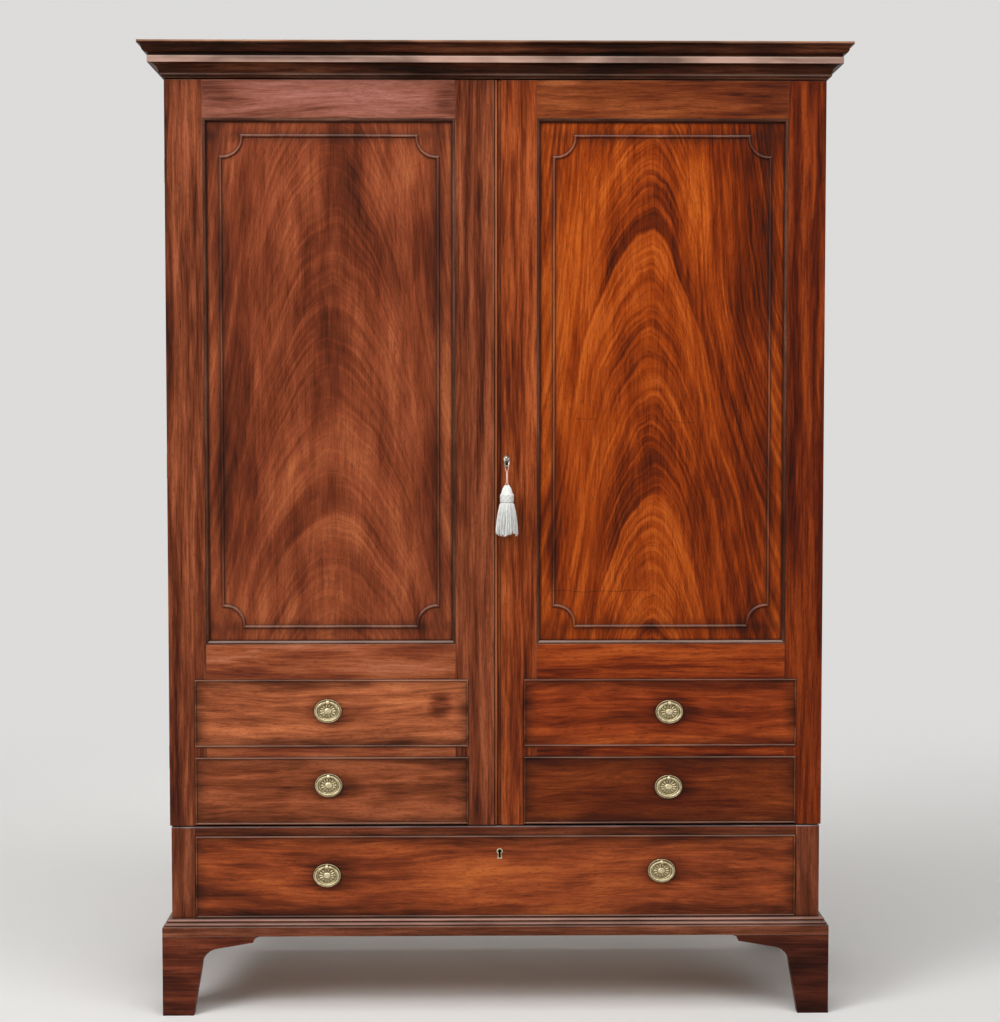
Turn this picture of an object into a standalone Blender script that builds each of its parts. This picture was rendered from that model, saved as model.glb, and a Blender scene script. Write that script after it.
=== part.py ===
"""Mahogany wardrobe: two panelled doors with dummy drawer fronts over one long drawer on bracket feet.

Metres, +Z up, front towards -Y. The origin is on the floor, under the middle of the object.
"""
import math

import bmesh
import bpy
from mathutils import Vector

# Fits
GAP = 0.0003
SHARP_ANGLE = math.radians(35)
SIDES = (("left", -1), ("right", 1))

# Facets of round shapes
ROUND_STEPS = 16
OVAL_STEPS = 20
EYE_STEPS = 12
WIRE_STEPS = 6
CORNER_STEPS = 7

# Upper case
CASE_WIDTH = 1.374
CASE_DEPTH = 0.562
SIDE_THICKNESS = 0.020
BOARD_THICKNESS = 0.018
BACK_THICKNESS = 0.012
BACK_BOARD_COUNT = 5
BACK_GROOVE_WIDTH = 0.003
BACK_GROOVE_DEPTH = 0.0025
RAIL_RADIUS = 0.0125
RAIL_DROP = 0.110
FLANGE_RADIUS = 0.023
FLANGE_THICKNESS = 0.004

# Base
BASE_INSET = 0.003
POST_WIDTH = 0.049
POST_DEPTH = 0.045
BASE_RAIL_HEIGHT = 0.019
SEAM_WIDTH = 0.0005
SEAM_DEPTH = 0.001
DRAWER_OPENING_HEIGHT = 0.176
RUNNER_THICKNESS = 0.006
RUNNER_TREAD = 0.034
GUIDE_HEIGHT = 0.030

# Cornice, from its foot upwards
CORNICE_FOOT = 0.003
CORNICE_HOLLOW = 0.005
CORNICE_BEAD_RADIUS = 0.002
CAVETTO_RADIUS = 0.019
FASCIA_HEIGHT = 0.0135
FASCIA_STEP = 0.0015
QUIRK_HEIGHT = 0.006
QUIRK_DEPTH = 0.002
OGEE_RADIUS = 0.0085
LIP_HEIGHT = 0.0055
CORNICE_RAIL = 0.025
CORNICE_RAIL_DROP = 0.004

# Plinth, from its foot upwards
PLINTH_FACE_HEIGHT = 0.019
PLINTH_BEAD_RADIUS = 0.003
PLINTH_QUIRK = 0.0012
PLINTH_TOP_RADIUS = 0.0035
PLINTH_OVERHANG = 0.0185
PLINTH_LEDGE = 0.0035
PLINTH_STEP = 0.0045

# Bracket feet
FOOT_HEIGHT = 0.168
FOOT_TOE = 0.065
FOOT_ANKLE = 0.083
FOOT_ANKLE_DROP = 0.063
FOOT_COVE = 0.038
SPANDREL_DROP = 0.013
SPANDREL_TIP = 0.203
SPANDREL_CURL = 0.012
BRACKET_THICKNESS = 0.022
REAR_BRACKET = 0.130
FOOT_BLOCK = 0.045
FOOT_BLOCK_LIFT = 0.001

# Door frames
DOOR_HEIGHT = 1.5575
DOOR_THICKNESS = 0.025
DOOR_GAP_BELOW = 0.003
DOOR_GAP_ABOVE = 0.0025
DOOR_GAP_BEHIND = 0.001
MEETING_LINE = 0.003
MEETING_GAP = 0.0015
OUTER_STILE = 0.0785
STILE_INNER_EDGE = 0.085
TOP_RAIL = 0.0785
LOCK_RAIL = 0.075
GROOVE_DEPTH = 0.009
EDGE_BEAD_RADIUS = 0.003
EDGE_QUIRK = 0.0008
MEETING_REBATE_WIDTH = 0.0065
MEETING_REBATE_DEPTH = 0.004

# Door panels and their mouldings
PANEL_THICKNESS = 0.009
PANEL_SET_BACK = 0.009
STICKING_WIDTH = 0.0065
STICKING_DROP = 0.0008
STICKING_FILLET = 0.0015
PANEL_BEAD_WIDTH = 0.006
PANEL_BEAD_HEIGHT = 0.0035
PANEL_BEAD_INSET = 0.036
CORNER_RADIUS = 0.040
CORNER_SHOULDER = 0.004

# Dummy drawer fronts and cock beads
DUMMY_HEIGHT = 0.142
DUMMY_SPACING = 0.0223
DUMMY_RISE = 0.002
DUMMY_OUTER_MARGIN = 0.054
DUMMY_INNER_EDGE = 0.059
DUMMY_THICKNESS = 0.006
COCKBEAD_WIDTH = 0.0034
COCKBEAD_PROUD = 0.003
BEAD_QUIRK_WIDTH = 0.0005
BEAD_QUIRK_DEPTH = 0.0006

# Hinges
HINGE_HEIGHT = 0.050
HINGE_LEAF_REACH = 0.0155
HINGE_LEAF_THICKNESS = 0.0016
HINGE_KNUCKLE_RADIUS = 0.0032
HINGE_OFFSET = 0.0012
HINGE_NOTCH_GAP = 0.0005
TOP_HINGE_DROP = 0.185
BOTTOM_HINGE_RISE = 0.141

# Drawer
DRAWER_CLEARANCE = 0.0015
DRAWER_FRONT_THICKNESS = 0.022
DRAWER_SIDE_THICKNESS = 0.012
DRAWER_SIDE_HEIGHT = 0.142
DRAWER_BOTTOM_THICKNESS = 0.008
DRAWER_BOTTOM_RISE = 0.010
DRAWER_GROOVE = 0.006
DRAWER_BACK_SPACE = 0.010
TAIL_COUNT = 3
TAIL_LENGTH = 0.0105
TAIL_ROOT = 0.020
TAIL_FLARE = 0.006

# Oval ring handles
PLATE_HALF_WIDTH = 0.029
PLATE_HALF_HEIGHT = 0.025
PLATE_EDGE = 0.0012
PLATE_RIM_HEIGHT = 0.0025
PLATE_RIM_WIDTH = 0.0055
PLATE_RIM_BEVEL = 0.0018
PLATE_DISH_HEIGHT = 0.0010
PLATE_EYE_ROOT = 0.0005
BOSS_HEIGHT = 0.0042
BOSS_SHOULDER_HEIGHT = 0.0034
BOSS_FOOT = 0.34
BOSS_SHOULDER = 0.27
BOSS_CROWN = 0.14
RING_HALF_WIDTH = 0.0243
RING_HALF_HEIGHT = 0.0195
RING_WIRE_RADIUS = 0.002
EYE_HOLE_RADIUS = 0.0026
EYE_WALL = 0.0016
EYE_BACK_WALL = 0.0012
EYE_LENGTH = 0.007

# Handle places, as offsets right and up from the middle of each front
HANDLE_OFFSETS = {
    "left_upper": (-0.008, 0.005),
    "left_lower": (-0.007, 0.012),
    "right_upper": (0.019, 0.002),
    "right_lower": (0.018, 0.007),
    "drawer_left": (-0.011, 0.003),
    "drawer_right": (0.004, 0.011),
}

# Door lock and key
KEY_RISE = 0.7725
KEY_BACKSET = 0.0177
LOCK_WIDTH = 0.058
LOCK_ABOVE = 0.028
LOCK_BELOW = 0.036
LOCK_DEPTH = 0.0135
LOCK_WALL = 0.0018
BOLT_THICKNESS = 0.005
BOLT_TOP = 0.0042
BOLT_HEIGHT = 0.018
BOLT_LENGTH = 0.045
BOLT_REST_SETBACK = 0.0005
BOLT_THROW = 0.010
TALON_HALF_WIDTH = 0.0028
TALON_DEPTH = 0.0058
STRIKE_CLEARANCE = 0.0006
KEY_SHANK_RADIUS = 0.0026
KEY_BIT_LENGTH = 0.009
KEY_BIT_THICKNESS = 0.002
KEY_KNOB_RADIUS = 0.005
KEY_KNOB_SHAPE = ((0.52, 0.50), (0.85, 0.30), (1.0, 0.0), (0.85, -0.40), (0.52, -0.60))
KEY_BOW_OUT = 0.025
KEY_BOW_HALF_WIDTH = 0.0105
KEY_BOW_HALF_HEIGHT = 0.0127
KEY_BOW_WIRE = 0.0018
KEY_BOW_DROP = 0.0046
KEY_BOW_TURN = math.radians(27)

# Keyholes
KEYHOLE_RADIUS = 0.0040
KEYHOLE_FOOT = 0.0028
KEYHOLE_DROP = 0.0135
DRAWER_KEY_OFFSET = 0.0075
DRAWER_KEY_DROP = 0.033
DRAWER_KEYHOLE_DEPTH = 0.015

# Key cord and tassel
CORD_RADIUS = 0.00075
CORD_DROP = 0.037
CORD_FOOT = 0.0028
CORD_SPAN_STEPS = 3
TASSEL_HEAD_RADIUS = 0.0132
TASSEL_HEAD_HEIGHT = 0.0366
TASSEL_HEAD_SHAPE = ((0.58, 0.13), (0.80, 0.30), (0.96, 0.51), (1.0, 0.78), (0.98, 0.95), (0.93, 1.0))
TASSEL_SKIRT_RADIUS = 0.0225
TASSEL_SKIRT_LENGTH = 0.0634
TASSEL_SKIRT_SHAPE = ((0.66, 0.03), (0.80, 0.30), (0.945, 0.62), (1.0, 1.0))
TASSEL_FLUTE = 0.0008

# One strand of the key cord above its foot, as offsets across and up from the bow's lower limb
CORD_STRAND = (
    (-0.0013, -0.0310),
    (-0.00095, -0.0250),
    (-0.00095, -0.0140),
    (-0.0016, -0.0075),
    (-0.0032, -0.0020),
    (-0.0026, 0.0023),
)
CORD_CREST = (0.0, 0.0037)

# Derived places
CORNICE_SPRING = CORNICE_FOOT + CORNICE_HOLLOW + FASCIA_STEP
CORNICE_FASCIA = CORNICE_SPRING + CAVETTO_RADIUS + FASCIA_STEP
CORNICE_OGEE = CORNICE_FASCIA + FASCIA_STEP
CORNICE_PROJECTION = CORNICE_OGEE + 2 * OGEE_RADIUS
CORNICE_HEIGHT = (CORNICE_HOLLOW + 2 * CORNICE_BEAD_RADIUS + CAVETTO_RADIUS + FASCIA_HEIGHT
                  + QUIRK_HEIGHT + 2 * OGEE_RADIUS + LIP_HEIGHT)
PLINTH_HEIGHT = (PLINTH_FACE_HEIGHT + 2 * PLINTH_BEAD_RADIUS + 2 * PLINTH_QUIRK
                 + 2 * PLINTH_TOP_RADIUS)
HALF = CASE_WIDTH / 2
BASE_HALF = HALF - BASE_INSET
FACE = -(CASE_DEPTH - CORNICE_PROJECTION) / 2
BACK = FACE + CASE_DEPTH
DOOR_BACK = FACE + DOOR_THICKNESS
CASE_FRONT = DOOR_BACK + DOOR_GAP_BEHIND
PLINTH_TOP = FOOT_HEIGHT + PLINTH_HEIGHT
DRAWER_TOP = PLINTH_TOP + DRAWER_OPENING_HEIGHT
BASE_TOP = DRAWER_TOP + BASE_RAIL_HEIGHT
DOOR_BOTTOM = BASE_TOP + DOOR_GAP_BELOW
DOOR_TOP = DOOR_BOTTOM + DOOR_HEIGHT
CASE_TOP = DOOR_TOP + DOOR_GAP_ABOVE
CASE_FOOT = BASE_TOP + GAP
INSIDE_HALF = HALF - SIDE_THICKNESS - GAP
BASE_INSIDE_HALF = BASE_HALF - SIDE_THICKNESS - GAP
CASE_BOTTOM_TOP = CASE_FOOT + BOARD_THICKNESS
BACK_FRONT = BACK - BACK_THICKNESS
RAIL_Y = (CASE_FRONT + BACK_FRONT) / 2
RAIL_Z = CASE_TOP - RAIL_DROP

PANEL_FRONT = FACE + PANEL_SET_BACK
PANEL_BACK = PANEL_FRONT + PANEL_THICKNESS
GROOVE_FRONT = PANEL_FRONT - GAP
GROOVE_BACK = PANEL_BACK + GAP
LOWER_DUMMY = (DOOR_BOTTOM + DUMMY_RISE, DOOR_BOTTOM + DUMMY_RISE + DUMMY_HEIGHT)
UPPER_DUMMY = (LOWER_DUMMY[1] + DUMMY_SPACING, LOWER_DUMMY[1] + DUMMY_SPACING + DUMMY_HEIGHT)
DUMMY_OUTER_EDGE = HALF - DUMMY_OUTER_MARGIN
DUMMY_MIDDLE = (DUMMY_OUTER_EDGE + DUMMY_INNER_EDGE) / 2
RECESS_BACK = FACE + DUMMY_THICKNESS + GAP
OPENING_BOTTOM = UPPER_DUMMY[1] + LOCK_RAIL
OPENING_TOP = DOOR_TOP - TOP_RAIL
OPENING_OUTER = HALF - OUTER_STILE

HINGE_X = HALF + HINGE_OFFSET
HINGE_Y = (DOOR_BACK + CASE_FRONT) / 2
BOTTOM_HINGE = DOOR_BOTTOM + BOTTOM_HINGE_RISE
TOP_HINGE = DOOR_TOP - TOP_HINGE_DROP
HINGE_HEIGHTS = {"lower": BOTTOM_HINGE, "middle": (BOTTOM_HINGE + TOP_HINGE) / 2, "upper": TOP_HINGE}

RIGHT_EDGE = MEETING_LINE + MEETING_GAP
KEY_X = RIGHT_EDGE + KEY_BACKSET
KEY_Z = DOOR_BOTTOM + KEY_RISE
BOW_Y = FACE - KEY_BOW_OUT
LIMB_Z = KEY_Z - KEY_BOW_DROP - KEY_BOW_HALF_HEIGHT
LOCK_FLOOR = DOOR_BACK - LOCK_WALL
BOLT_BACK = LOCK_FLOOR - GAP
BOLT_FRONT = BOLT_BACK - BOLT_THICKNESS
BOLT_HIGH = KEY_Z - BOLT_TOP
BOLT_LOW = BOLT_HIGH - BOLT_HEIGHT
TASSEL_TOP = LIMB_Z - CORD_DROP

DRAWER_HALF = BASE_HALF - POST_WIDTH - DRAWER_CLEARANCE
DRAWER_FRONT_LOW = PLINTH_TOP + DRAWER_CLEARANCE
DRAWER_FRONT_HIGH = DRAWER_TOP - DRAWER_CLEARANCE
DRAWER_FRONT_BACK = FACE + DRAWER_FRONT_THICKNESS
DRAWER_REAR = BACK_FRONT - DRAWER_BACK_SPACE
RUNNER_TOP = PLINTH_TOP + GAP + RUNNER_THICKNESS
DRAWER_SIDE_LOW = RUNNER_TOP + GAP
DRAWER_SIDE_HIGH = DRAWER_SIDE_LOW + DRAWER_SIDE_HEIGHT
DRAWER_FLOOR = DRAWER_SIDE_LOW + DRAWER_BOTTOM_RISE
DRAWER_KEY_Z = DRAWER_FRONT_HIGH - DRAWER_KEY_DROP

RING_OUT = PLATE_RIM_HEIGHT + 2 * GAP + EYE_BACK_WALL + EYE_HOLE_RADIUS

FINISHES = {}
PIVOTS = {}


def finish(name, colour, roughness, metallic=0.0):
    """A Principled material; the colour is linear red, green and blue."""
    material = bpy.data.materials.new(name)
    material.use_nodes = True
    shader = material.node_tree.nodes["Principled BSDF"]
    shader.inputs["Base Color"].default_value = (*colour, 1.0)
    shader.inputs["Roughness"].default_value = roughness
    shader.inputs["Metallic"].default_value = metallic
    FINISHES[name] = material


def make_finishes():
    finish("mahogany", (0.095, 0.024, 0.012), 0.38)
    finish("figured_mahogany", (0.170, 0.042, 0.014), 0.32)
    finish("oak_lining", (0.300, 0.180, 0.085), 0.65)
    finish("pine", (0.330, 0.200, 0.100), 0.75)
    finish("old_brass", (0.420, 0.310, 0.130), 0.38, 1.0)
    finish("steel", (0.300, 0.290, 0.280), 0.45, 1.0)
    finish("silk_cord", (0.620, 0.480, 0.440), 0.70)
    finish("silk_tassel", (0.560, 0.580, 0.580), 0.75)


def pivot(name, place, parent=None):
    """An empty on a joint's axis, which carries the pieces of one moving body."""
    empty = bpy.data.objects.new(name, None)
    empty.empty_display_size = 0.03
    empty.location = Vector(place)
    bpy.context.collection.objects.link(empty)
    if parent:
        empty.parent = PIVOTS[parent][0]
        empty.location -= PIVOTS[parent][1]
    PIVOTS[name] = (empty, Vector(place))


def carry(item, body):
    """Hang an object from the empty of its body."""
    if body:
        item.parent = PIVOTS[body][0]
    bpy.context.collection.objects.link(item)
    return item


def make_node(name, bm, finish_name, body=None):
    """Turn a bmesh drawn in world coordinates into a named object."""
    bmesh.ops.recalc_face_normals(bm, faces=bm.faces)
    if body:
        bmesh.ops.translate(bm, verts=bm.verts, vec=-PIVOTS[body][1])
    mesh = bpy.data.meshes.new(name)
    bm.to_mesh(mesh)
    bm.free()
    mesh.shade_smooth()
    mesh.set_sharp_from_angle(angle=SHARP_ANGLE)
    if finish_name:
        mesh.materials.append(FINISHES[finish_name])
    return carry(bpy.data.objects.new(name, mesh), body)


def make_tool(name, bm, body=None):
    """A hidden solid that Boolean modifiers cut with or add."""
    tool = make_node(name, bm, None, body)
    tool.hide_render = True
    tool.display_type = "WIRE"
    return tool


def combine(node, tool, operation="DIFFERENCE"):
    modifier = node.modifiers.new(tool.name, "BOOLEAN")
    modifier.operation = operation
    modifier.solver = "EXACT"
    modifier.object = tool


def along_x(u, v, w):
    return (w, u, v)


def along_y(u, v, w):
    return (u, w, v)


def along_z(u, v, w):
    return (u, v, w)


def skin(bm, rings, closed=False):
    """Faces between rings of points; the ends are capped unless the rings close on themselves."""
    rings = [[bm.verts.new(point) for point in ring] for ring in rings]
    if not closed:
        bm.faces.new(rings[0])
        bm.faces.new(rings[-1])
    pairs = list(zip(rings, rings[1:]))
    if closed:
        pairs.append((rings[-1], rings[0]))
    count = len(rings[0])
    for near, far in pairs:
        for i in range(count):
            j = (i + 1) % count
            bm.faces.new((near[i], near[j], far[j], far[i]))


def prism(bm, outline, place, start, end):
    skin(bm, [[place(u, v, w) for u, v in outline] for w in (start, end)])


def pipe(bm, outer, inner, place, start, end):
    """A prism with a hole; both outlines have the same number of points."""
    loops = ((outer, start), (outer, end), (inner, end), (inner, start))
    skin(bm, [[place(u, v, w) for u, v in outline] for outline, w in loops], closed=True)


def rectangle(low, high):
    return [(low[0], low[1]), (high[0], low[1]), (high[0], high[1]), (low[0], high[1])]


def box(bm, x, y, z):
    """A block; each argument is a pair of limits in either order."""
    x, y, z = sorted(x), sorted(y), sorted(z)
    prism(bm, rectangle((x[0], y[0]), (x[1], y[1])), along_z, z[0], z[1])


def tray(bm, x, y, z, wall):
    """A box open towards its first y, with a floor at its second y."""
    outer = rectangle((x[0], z[0]), (x[1], z[1]))
    inner = rectangle((x[0] + wall, z[0] + wall), (x[1] - wall, z[1] - wall))
    loops = ((outer, y[1]), (outer, y[0]), (inner, y[0]), (inner, y[1] - wall))
    skin(bm, [[along_y(u, v, w) for u, v in outline] for outline, w in loops])


def arc(centre, radius, start, end, count):
    """Points round part of a circle, with the angles in degrees."""
    points = []
    for i in range(count + 1):
        angle = math.radians(start + (end - start) * i / count)
        points.append((centre[0] + radius * math.cos(angle), centre[1] + radius * math.sin(angle)))
    return points


def circle(centre, radius, count):
    return arc(centre, radius, 0, 360, count)[:-1]


def ellipse(centre, half_width, half_height, count):
    points = []
    for i in range(count):
        angle = 2 * math.pi * i / count
        points.append((centre[0] + half_width * math.cos(angle), centre[1] + half_height * math.sin(angle)))
    return points


def turned(bm, profile, centre, place, count):
    """A lathe shape from pairs of radius and place along the axis."""
    rings = []
    for radius, along in profile:
        rings.append([place(u, v, along) for u, v in circle(centre, radius, count)])
    skin(bm, rings)


def right_hand(start, end):
    run = (Vector(end) - Vector(start)).normalized()
    return Vector((run.y, -run.x))


def mitre(first, second):
    return (first + second) / (1 + first.dot(second))


def mitred_run(bm, path, profile, place):
    """One moulding along an open path, with mitred corners and square ends.

    The profile holds pairs of offset, to the right hand of the path, and height.
    """
    normals = [right_hand(start, end) for start, end in zip(path, path[1:])]
    sides = [normals[0]] + [mitre(a, b) for a, b in zip(normals, normals[1:])] + [normals[-1]]
    rings = []
    for corner, side in zip(path, sides):
        rings.append([place(*(Vector(corner) + side * offset), height) for offset, height in profile])
    skin(bm, rings)


def swept_loop(bm, path, profile, place):
    """One closed moulding or ring of constant profile round a closed path."""
    rings = []
    for i, corner in enumerate(path):
        before = right_hand(path[i - 1], corner)
        after = right_hand(corner, path[(i + 1) % len(path)])
        side = mitre(before, after)
        rings.append([place(*(Vector(corner) + side * offset), height) for offset, height in profile])
    skin(bm, rings, closed=True)


def cornice_profile():
    """Hollow, bead, cavetto, fascia, quirk, ogee and lip, as overhang and height over the case top."""
    points = [(GAP, 0.0)]
    points += arc((CORNICE_FOOT + CORNICE_HOLLOW, 0.0), CORNICE_HOLLOW, 180, 90, 3)
    height = CORNICE_HOLLOW + CORNICE_BEAD_RADIUS
    points += arc((CORNICE_FOOT + CORNICE_HOLLOW, height), CORNICE_BEAD_RADIUS, -60, 60, 3)
    height += CORNICE_BEAD_RADIUS
    points += arc((CORNICE_SPRING + CAVETTO_RADIUS, height), CAVETTO_RADIUS, 180, 90, 6)
    height += CAVETTO_RADIUS
    points.append((CORNICE_FASCIA, height))
    height += FASCIA_HEIGHT
    points += [(CORNICE_FASCIA, height), (CORNICE_FASCIA - QUIRK_DEPTH, height)]
    height += QUIRK_HEIGHT
    points += [(CORNICE_FASCIA - QUIRK_DEPTH, height), (CORNICE_OGEE, height)]
    points += arc((CORNICE_OGEE, height + OGEE_RADIUS), OGEE_RADIUS, -80, 0, 4)
    points += arc((CORNICE_PROJECTION, height + OGEE_RADIUS), OGEE_RADIUS, 170, 90, 4)
    points += [(CORNICE_PROJECTION, CORNICE_HEIGHT), (GAP, CORNICE_HEIGHT)]
    return [(offset, CASE_TOP + rise) for offset, rise in points]


def plinth_profile():
    """Face, bead and top bead, as overhang and height over the floor."""
    bead = PLINTH_OVERHANG - PLINTH_LEDGE - PLINTH_BEAD_RADIUS
    top = PLINTH_OVERHANG - PLINTH_LEDGE - PLINTH_STEP - PLINTH_TOP_RADIUS
    height = FOOT_HEIGHT + PLINTH_FACE_HEIGHT
    points = [(GAP, FOOT_HEIGHT), (PLINTH_OVERHANG, FOOT_HEIGHT), (PLINTH_OVERHANG, height)]
    height += PLINTH_QUIRK + PLINTH_BEAD_RADIUS
    points += arc((bead, height), PLINTH_BEAD_RADIUS, -60, 90, 5)
    height += PLINTH_BEAD_RADIUS + PLINTH_QUIRK + PLINTH_TOP_RADIUS
    points += arc((top, height), PLINTH_TOP_RADIUS, -60, 75, 5)
    points.append((GAP, PLINTH_TOP))
    return points


def round_three_sides(half, front, back):
    """A path along the left side, the front and the right side, with the outside on its right hand."""
    return [(-half, back), (-half, front), (half, front), (half, back)]


def make_upper_case():
    for name, sign in SIDES:
        bm = bmesh.new()
        x = (sign * (HALF - SIDE_THICKNESS), sign * HALF)
        box(bm, x, (CASE_FRONT, BACK), (CASE_FOOT, CASE_TOP - GAP))
        side = make_node(name + "_side", bm, "mahogany")
        bm = bmesh.new()
        for height in HINGE_HEIGHTS.values():
            hinge_mortise(bm, sign, height, 1)
        combine(side, make_tool(name + "_side_mortises", bm))

    bm = bmesh.new()
    box(bm, (-HALF, HALF), (FACE, BACK), (CASE_TOP, CASE_TOP + BOARD_THICKNESS))
    make_node("case_top", bm, "mahogany")
    bm = bmesh.new()
    box(bm, (-INSIDE_HALF, INSIDE_HALF), (CASE_FRONT, BACK_FRONT - GAP), (CASE_FOOT, CASE_BOTTOM_TOP))
    make_node("case_bottom", bm, "mahogany")

    low = PLINTH_TOP - BOARD_THICKNESS
    high = CASE_TOP - GAP
    outline = [(-BASE_INSIDE_HALF, low), (BASE_INSIDE_HALF, low), (BASE_INSIDE_HALF, CASE_FOOT),
               (INSIDE_HALF, CASE_FOOT), (INSIDE_HALF, high), (-INSIDE_HALF, high),
               (-INSIDE_HALF, CASE_FOOT), (-BASE_INSIDE_HALF, CASE_FOOT)]
    bm = bmesh.new()
    prism(bm, outline, along_y, BACK_FRONT, BACK)
    back = make_node("back_boards", bm, "pine")
    bm = bmesh.new()
    half = BACK_GROOVE_WIDTH / 2
    for i in range(1, BACK_BOARD_COUNT):
        joint = (2 * i / BACK_BOARD_COUNT - 1) * INSIDE_HALF
        for face in (BACK_FRONT, BACK):
            y = (face - BACK_GROOVE_DEPTH, face + BACK_GROOVE_DEPTH)
            box(bm, (joint - half, joint + half), y, (low - half, high + half))
    combine(back, make_tool("back_board_joints", bm))

    bm = bmesh.new()
    end = INSIDE_HALF - GAP
    flange = end - FLANGE_THICKNESS
    profile = [(FLANGE_RADIUS, -end), (FLANGE_RADIUS, -flange), (RAIL_RADIUS, -flange),
               (RAIL_RADIUS, flange), (FLANGE_RADIUS, flange), (FLANGE_RADIUS, end)]
    turned(bm, profile, (RAIL_Y, RAIL_Z), along_x, ROUND_STEPS)
    make_node("hanging_rail", bm, "old_brass")


def make_cornice():
    """The mitred moulding and the frame that it is glued to."""
    bm = bmesh.new()
    mitred_run(bm, round_three_sides(HALF, FACE, BACK), cornice_profile(), along_z)
    cornice = make_node("cornice", bm, "mahogany")
    bm = bmesh.new()
    half = HALF + CORNICE_FOOT
    front = FACE - CORNICE_FOOT
    rear = BACK - GAP
    outer = rectangle((-half, front), (half, rear))
    inside = half - CORNICE_RAIL
    inner = rectangle((-inside, front + CORNICE_RAIL), (inside, rear - CORNICE_RAIL))
    low = CASE_TOP + BOARD_THICKNESS + GAP
    pipe(bm, outer, inner, along_z, low, CASE_TOP + CORNICE_HEIGHT - CORNICE_RAIL_DROP)
    combine(cornice, make_tool("cornice_frame", bm), "UNION")


def make_base():
    step = FACE + POST_DEPTH + GAP
    rear = BACK_FRONT - GAP
    low = PLINTH_TOP + GAP
    for name, sign in SIDES:
        bm = bmesh.new()
        inner = sign * (BASE_HALF - SIDE_THICKNESS)
        box(bm, (inner, sign * BASE_HALF), (step, BACK), (FOOT_HEIGHT, BASE_TOP))
        side = make_node("base_" + name + "_side", bm, "mahogany")
        bm = bmesh.new()
        guide = sign * (BASE_HALF - POST_WIDTH)
        root = inner + sign * SIDE_THICKNESS / 2
        tread = guide - sign * RUNNER_TREAD
        outline = [(tread, low), (root, low), (root, low + GUIDE_HEIGHT),
                   (guide, low + GUIDE_HEIGHT), (guide, RUNNER_TOP), (tread, RUNNER_TOP)]
        prism(bm, outline, along_y, step + GAP, rear)
        combine(side, make_tool(name + "_runner", bm), "UNION")

    bm = bmesh.new()
    opening = BASE_HALF - POST_WIDTH
    outline = [(-BASE_HALF, FOOT_HEIGHT), (-opening, FOOT_HEIGHT), (-opening, DRAWER_TOP),
               (opening, DRAWER_TOP), (opening, FOOT_HEIGHT), (BASE_HALF, FOOT_HEIGHT),
               (BASE_HALF, BASE_TOP), (-BASE_HALF, BASE_TOP)]
    prism(bm, outline, along_y, FACE, FACE + POST_DEPTH)
    frame = make_node("base_face_frame", bm, "mahogany")
    bm = bmesh.new()
    for sign in (-1, 1):
        x = (sign * opening, sign * (opening + SEAM_WIDTH))
        box(bm, x, (FACE - SEAM_DEPTH, FACE + SEAM_DEPTH), (DRAWER_TOP + GAP, BASE_TOP + SEAM_DEPTH))
    combine(frame, make_tool("face_frame_seams", bm))

    bm = bmesh.new()
    wide = BASE_INSIDE_HALF
    narrow = opening - GAP
    outline = [(-narrow, FACE), (narrow, FACE), (narrow, step), (wide, step),
               (wide, rear), (-wide, rear), (-wide, step), (-narrow, step)]
    prism(bm, outline, along_z, PLINTH_TOP - BOARD_THICKNESS, PLINTH_TOP)
    make_node("base_bottom", bm, "pine")

    bm = bmesh.new()
    mitred_run(bm, round_three_sides(BASE_HALF, FACE, BACK), plinth_profile(), along_z)
    make_node("plinth_moulding", bm, "mahogany")


def bracket_outline():
    """A bracket foot seen square on, from its outer corner: toe, ankle, cove and spandrel."""
    top = FOOT_HEIGHT - GAP
    cove = (FOOT_ANKLE + FOOT_COVE, FOOT_HEIGHT - FOOT_ANKLE_DROP)
    points = [(0.0, 0.0), (FOOT_TOE, 0.0)]
    points += arc(cove, FOOT_COVE, 180, 95, 6)
    points += arc((SPANDREL_TIP, FOOT_HEIGHT - SPANDREL_DROP), SPANDREL_CURL, 180, 95, 3)
    points += [(SPANDREL_TIP, top), (0.0, top)]
    return points


def make_feet():
    """Four feet, each of two brackets and a glue block behind their corner."""
    edge = BASE_HALF + PLINTH_OVERHANG
    front = FACE - PLINTH_OVERHANG
    top = FOOT_HEIGHT - GAP
    outline = bracket_outline()
    rear_outline = [(0.0, 0.0), (FOOT_TOE, 0.0), (REAR_BRACKET, top), (0.0, top)]
    for name, sign in SIDES:
        for label, y, inward, across in (("front", front, 1, outline), ("rear", BACK, -1, rear_outline)):
            bm = bmesh.new()
            face = [(sign * (edge - u), v) for u, v in across]
            prism(bm, face, along_y, y, y + inward * BRACKET_THICKNESS)
            foot = make_node(label + "_" + name + "_foot", bm, "mahogany")
            bm = bmesh.new()
            side = [(y + inward * u, v) for u, v in outline]
            prism(bm, side, along_x, sign * edge, sign * (edge - BRACKET_THICKNESS))
            combine(foot, make_tool(label + "_" + name + "_side_bracket", bm), "UNION")
            bm = bmesh.new()
            inset = BRACKET_THICKNESS / 2
            corner = (sign * (edge - inset), y + inward * inset)
            far = (corner[0] - sign * FOOT_BLOCK, corner[1] + inward * FOOT_BLOCK)
            box(bm, (corner[0], far[0]), (corner[1], far[1]), (FOOT_BLOCK_LIFT, top - GAP))
            combine(foot, make_tool(label + "_" + name + "_block", bm), "UNION")


def hinge_outline(sign, radius, reach, near, far):
    """A knuckle with its leaf, across X and Y; the leaf lies between two distances from the axis."""
    low, high = sorted((near, far))
    start = 180 - math.degrees(math.asin(high / radius))
    end = -180 - math.degrees(math.asin(low / radius))
    points = arc((0.0, 0.0), radius, start, end, 10) + [(-reach, low), (-reach, high)]
    return [(sign * (HINGE_X + x), HINGE_Y + y) for x, y in points]


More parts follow.
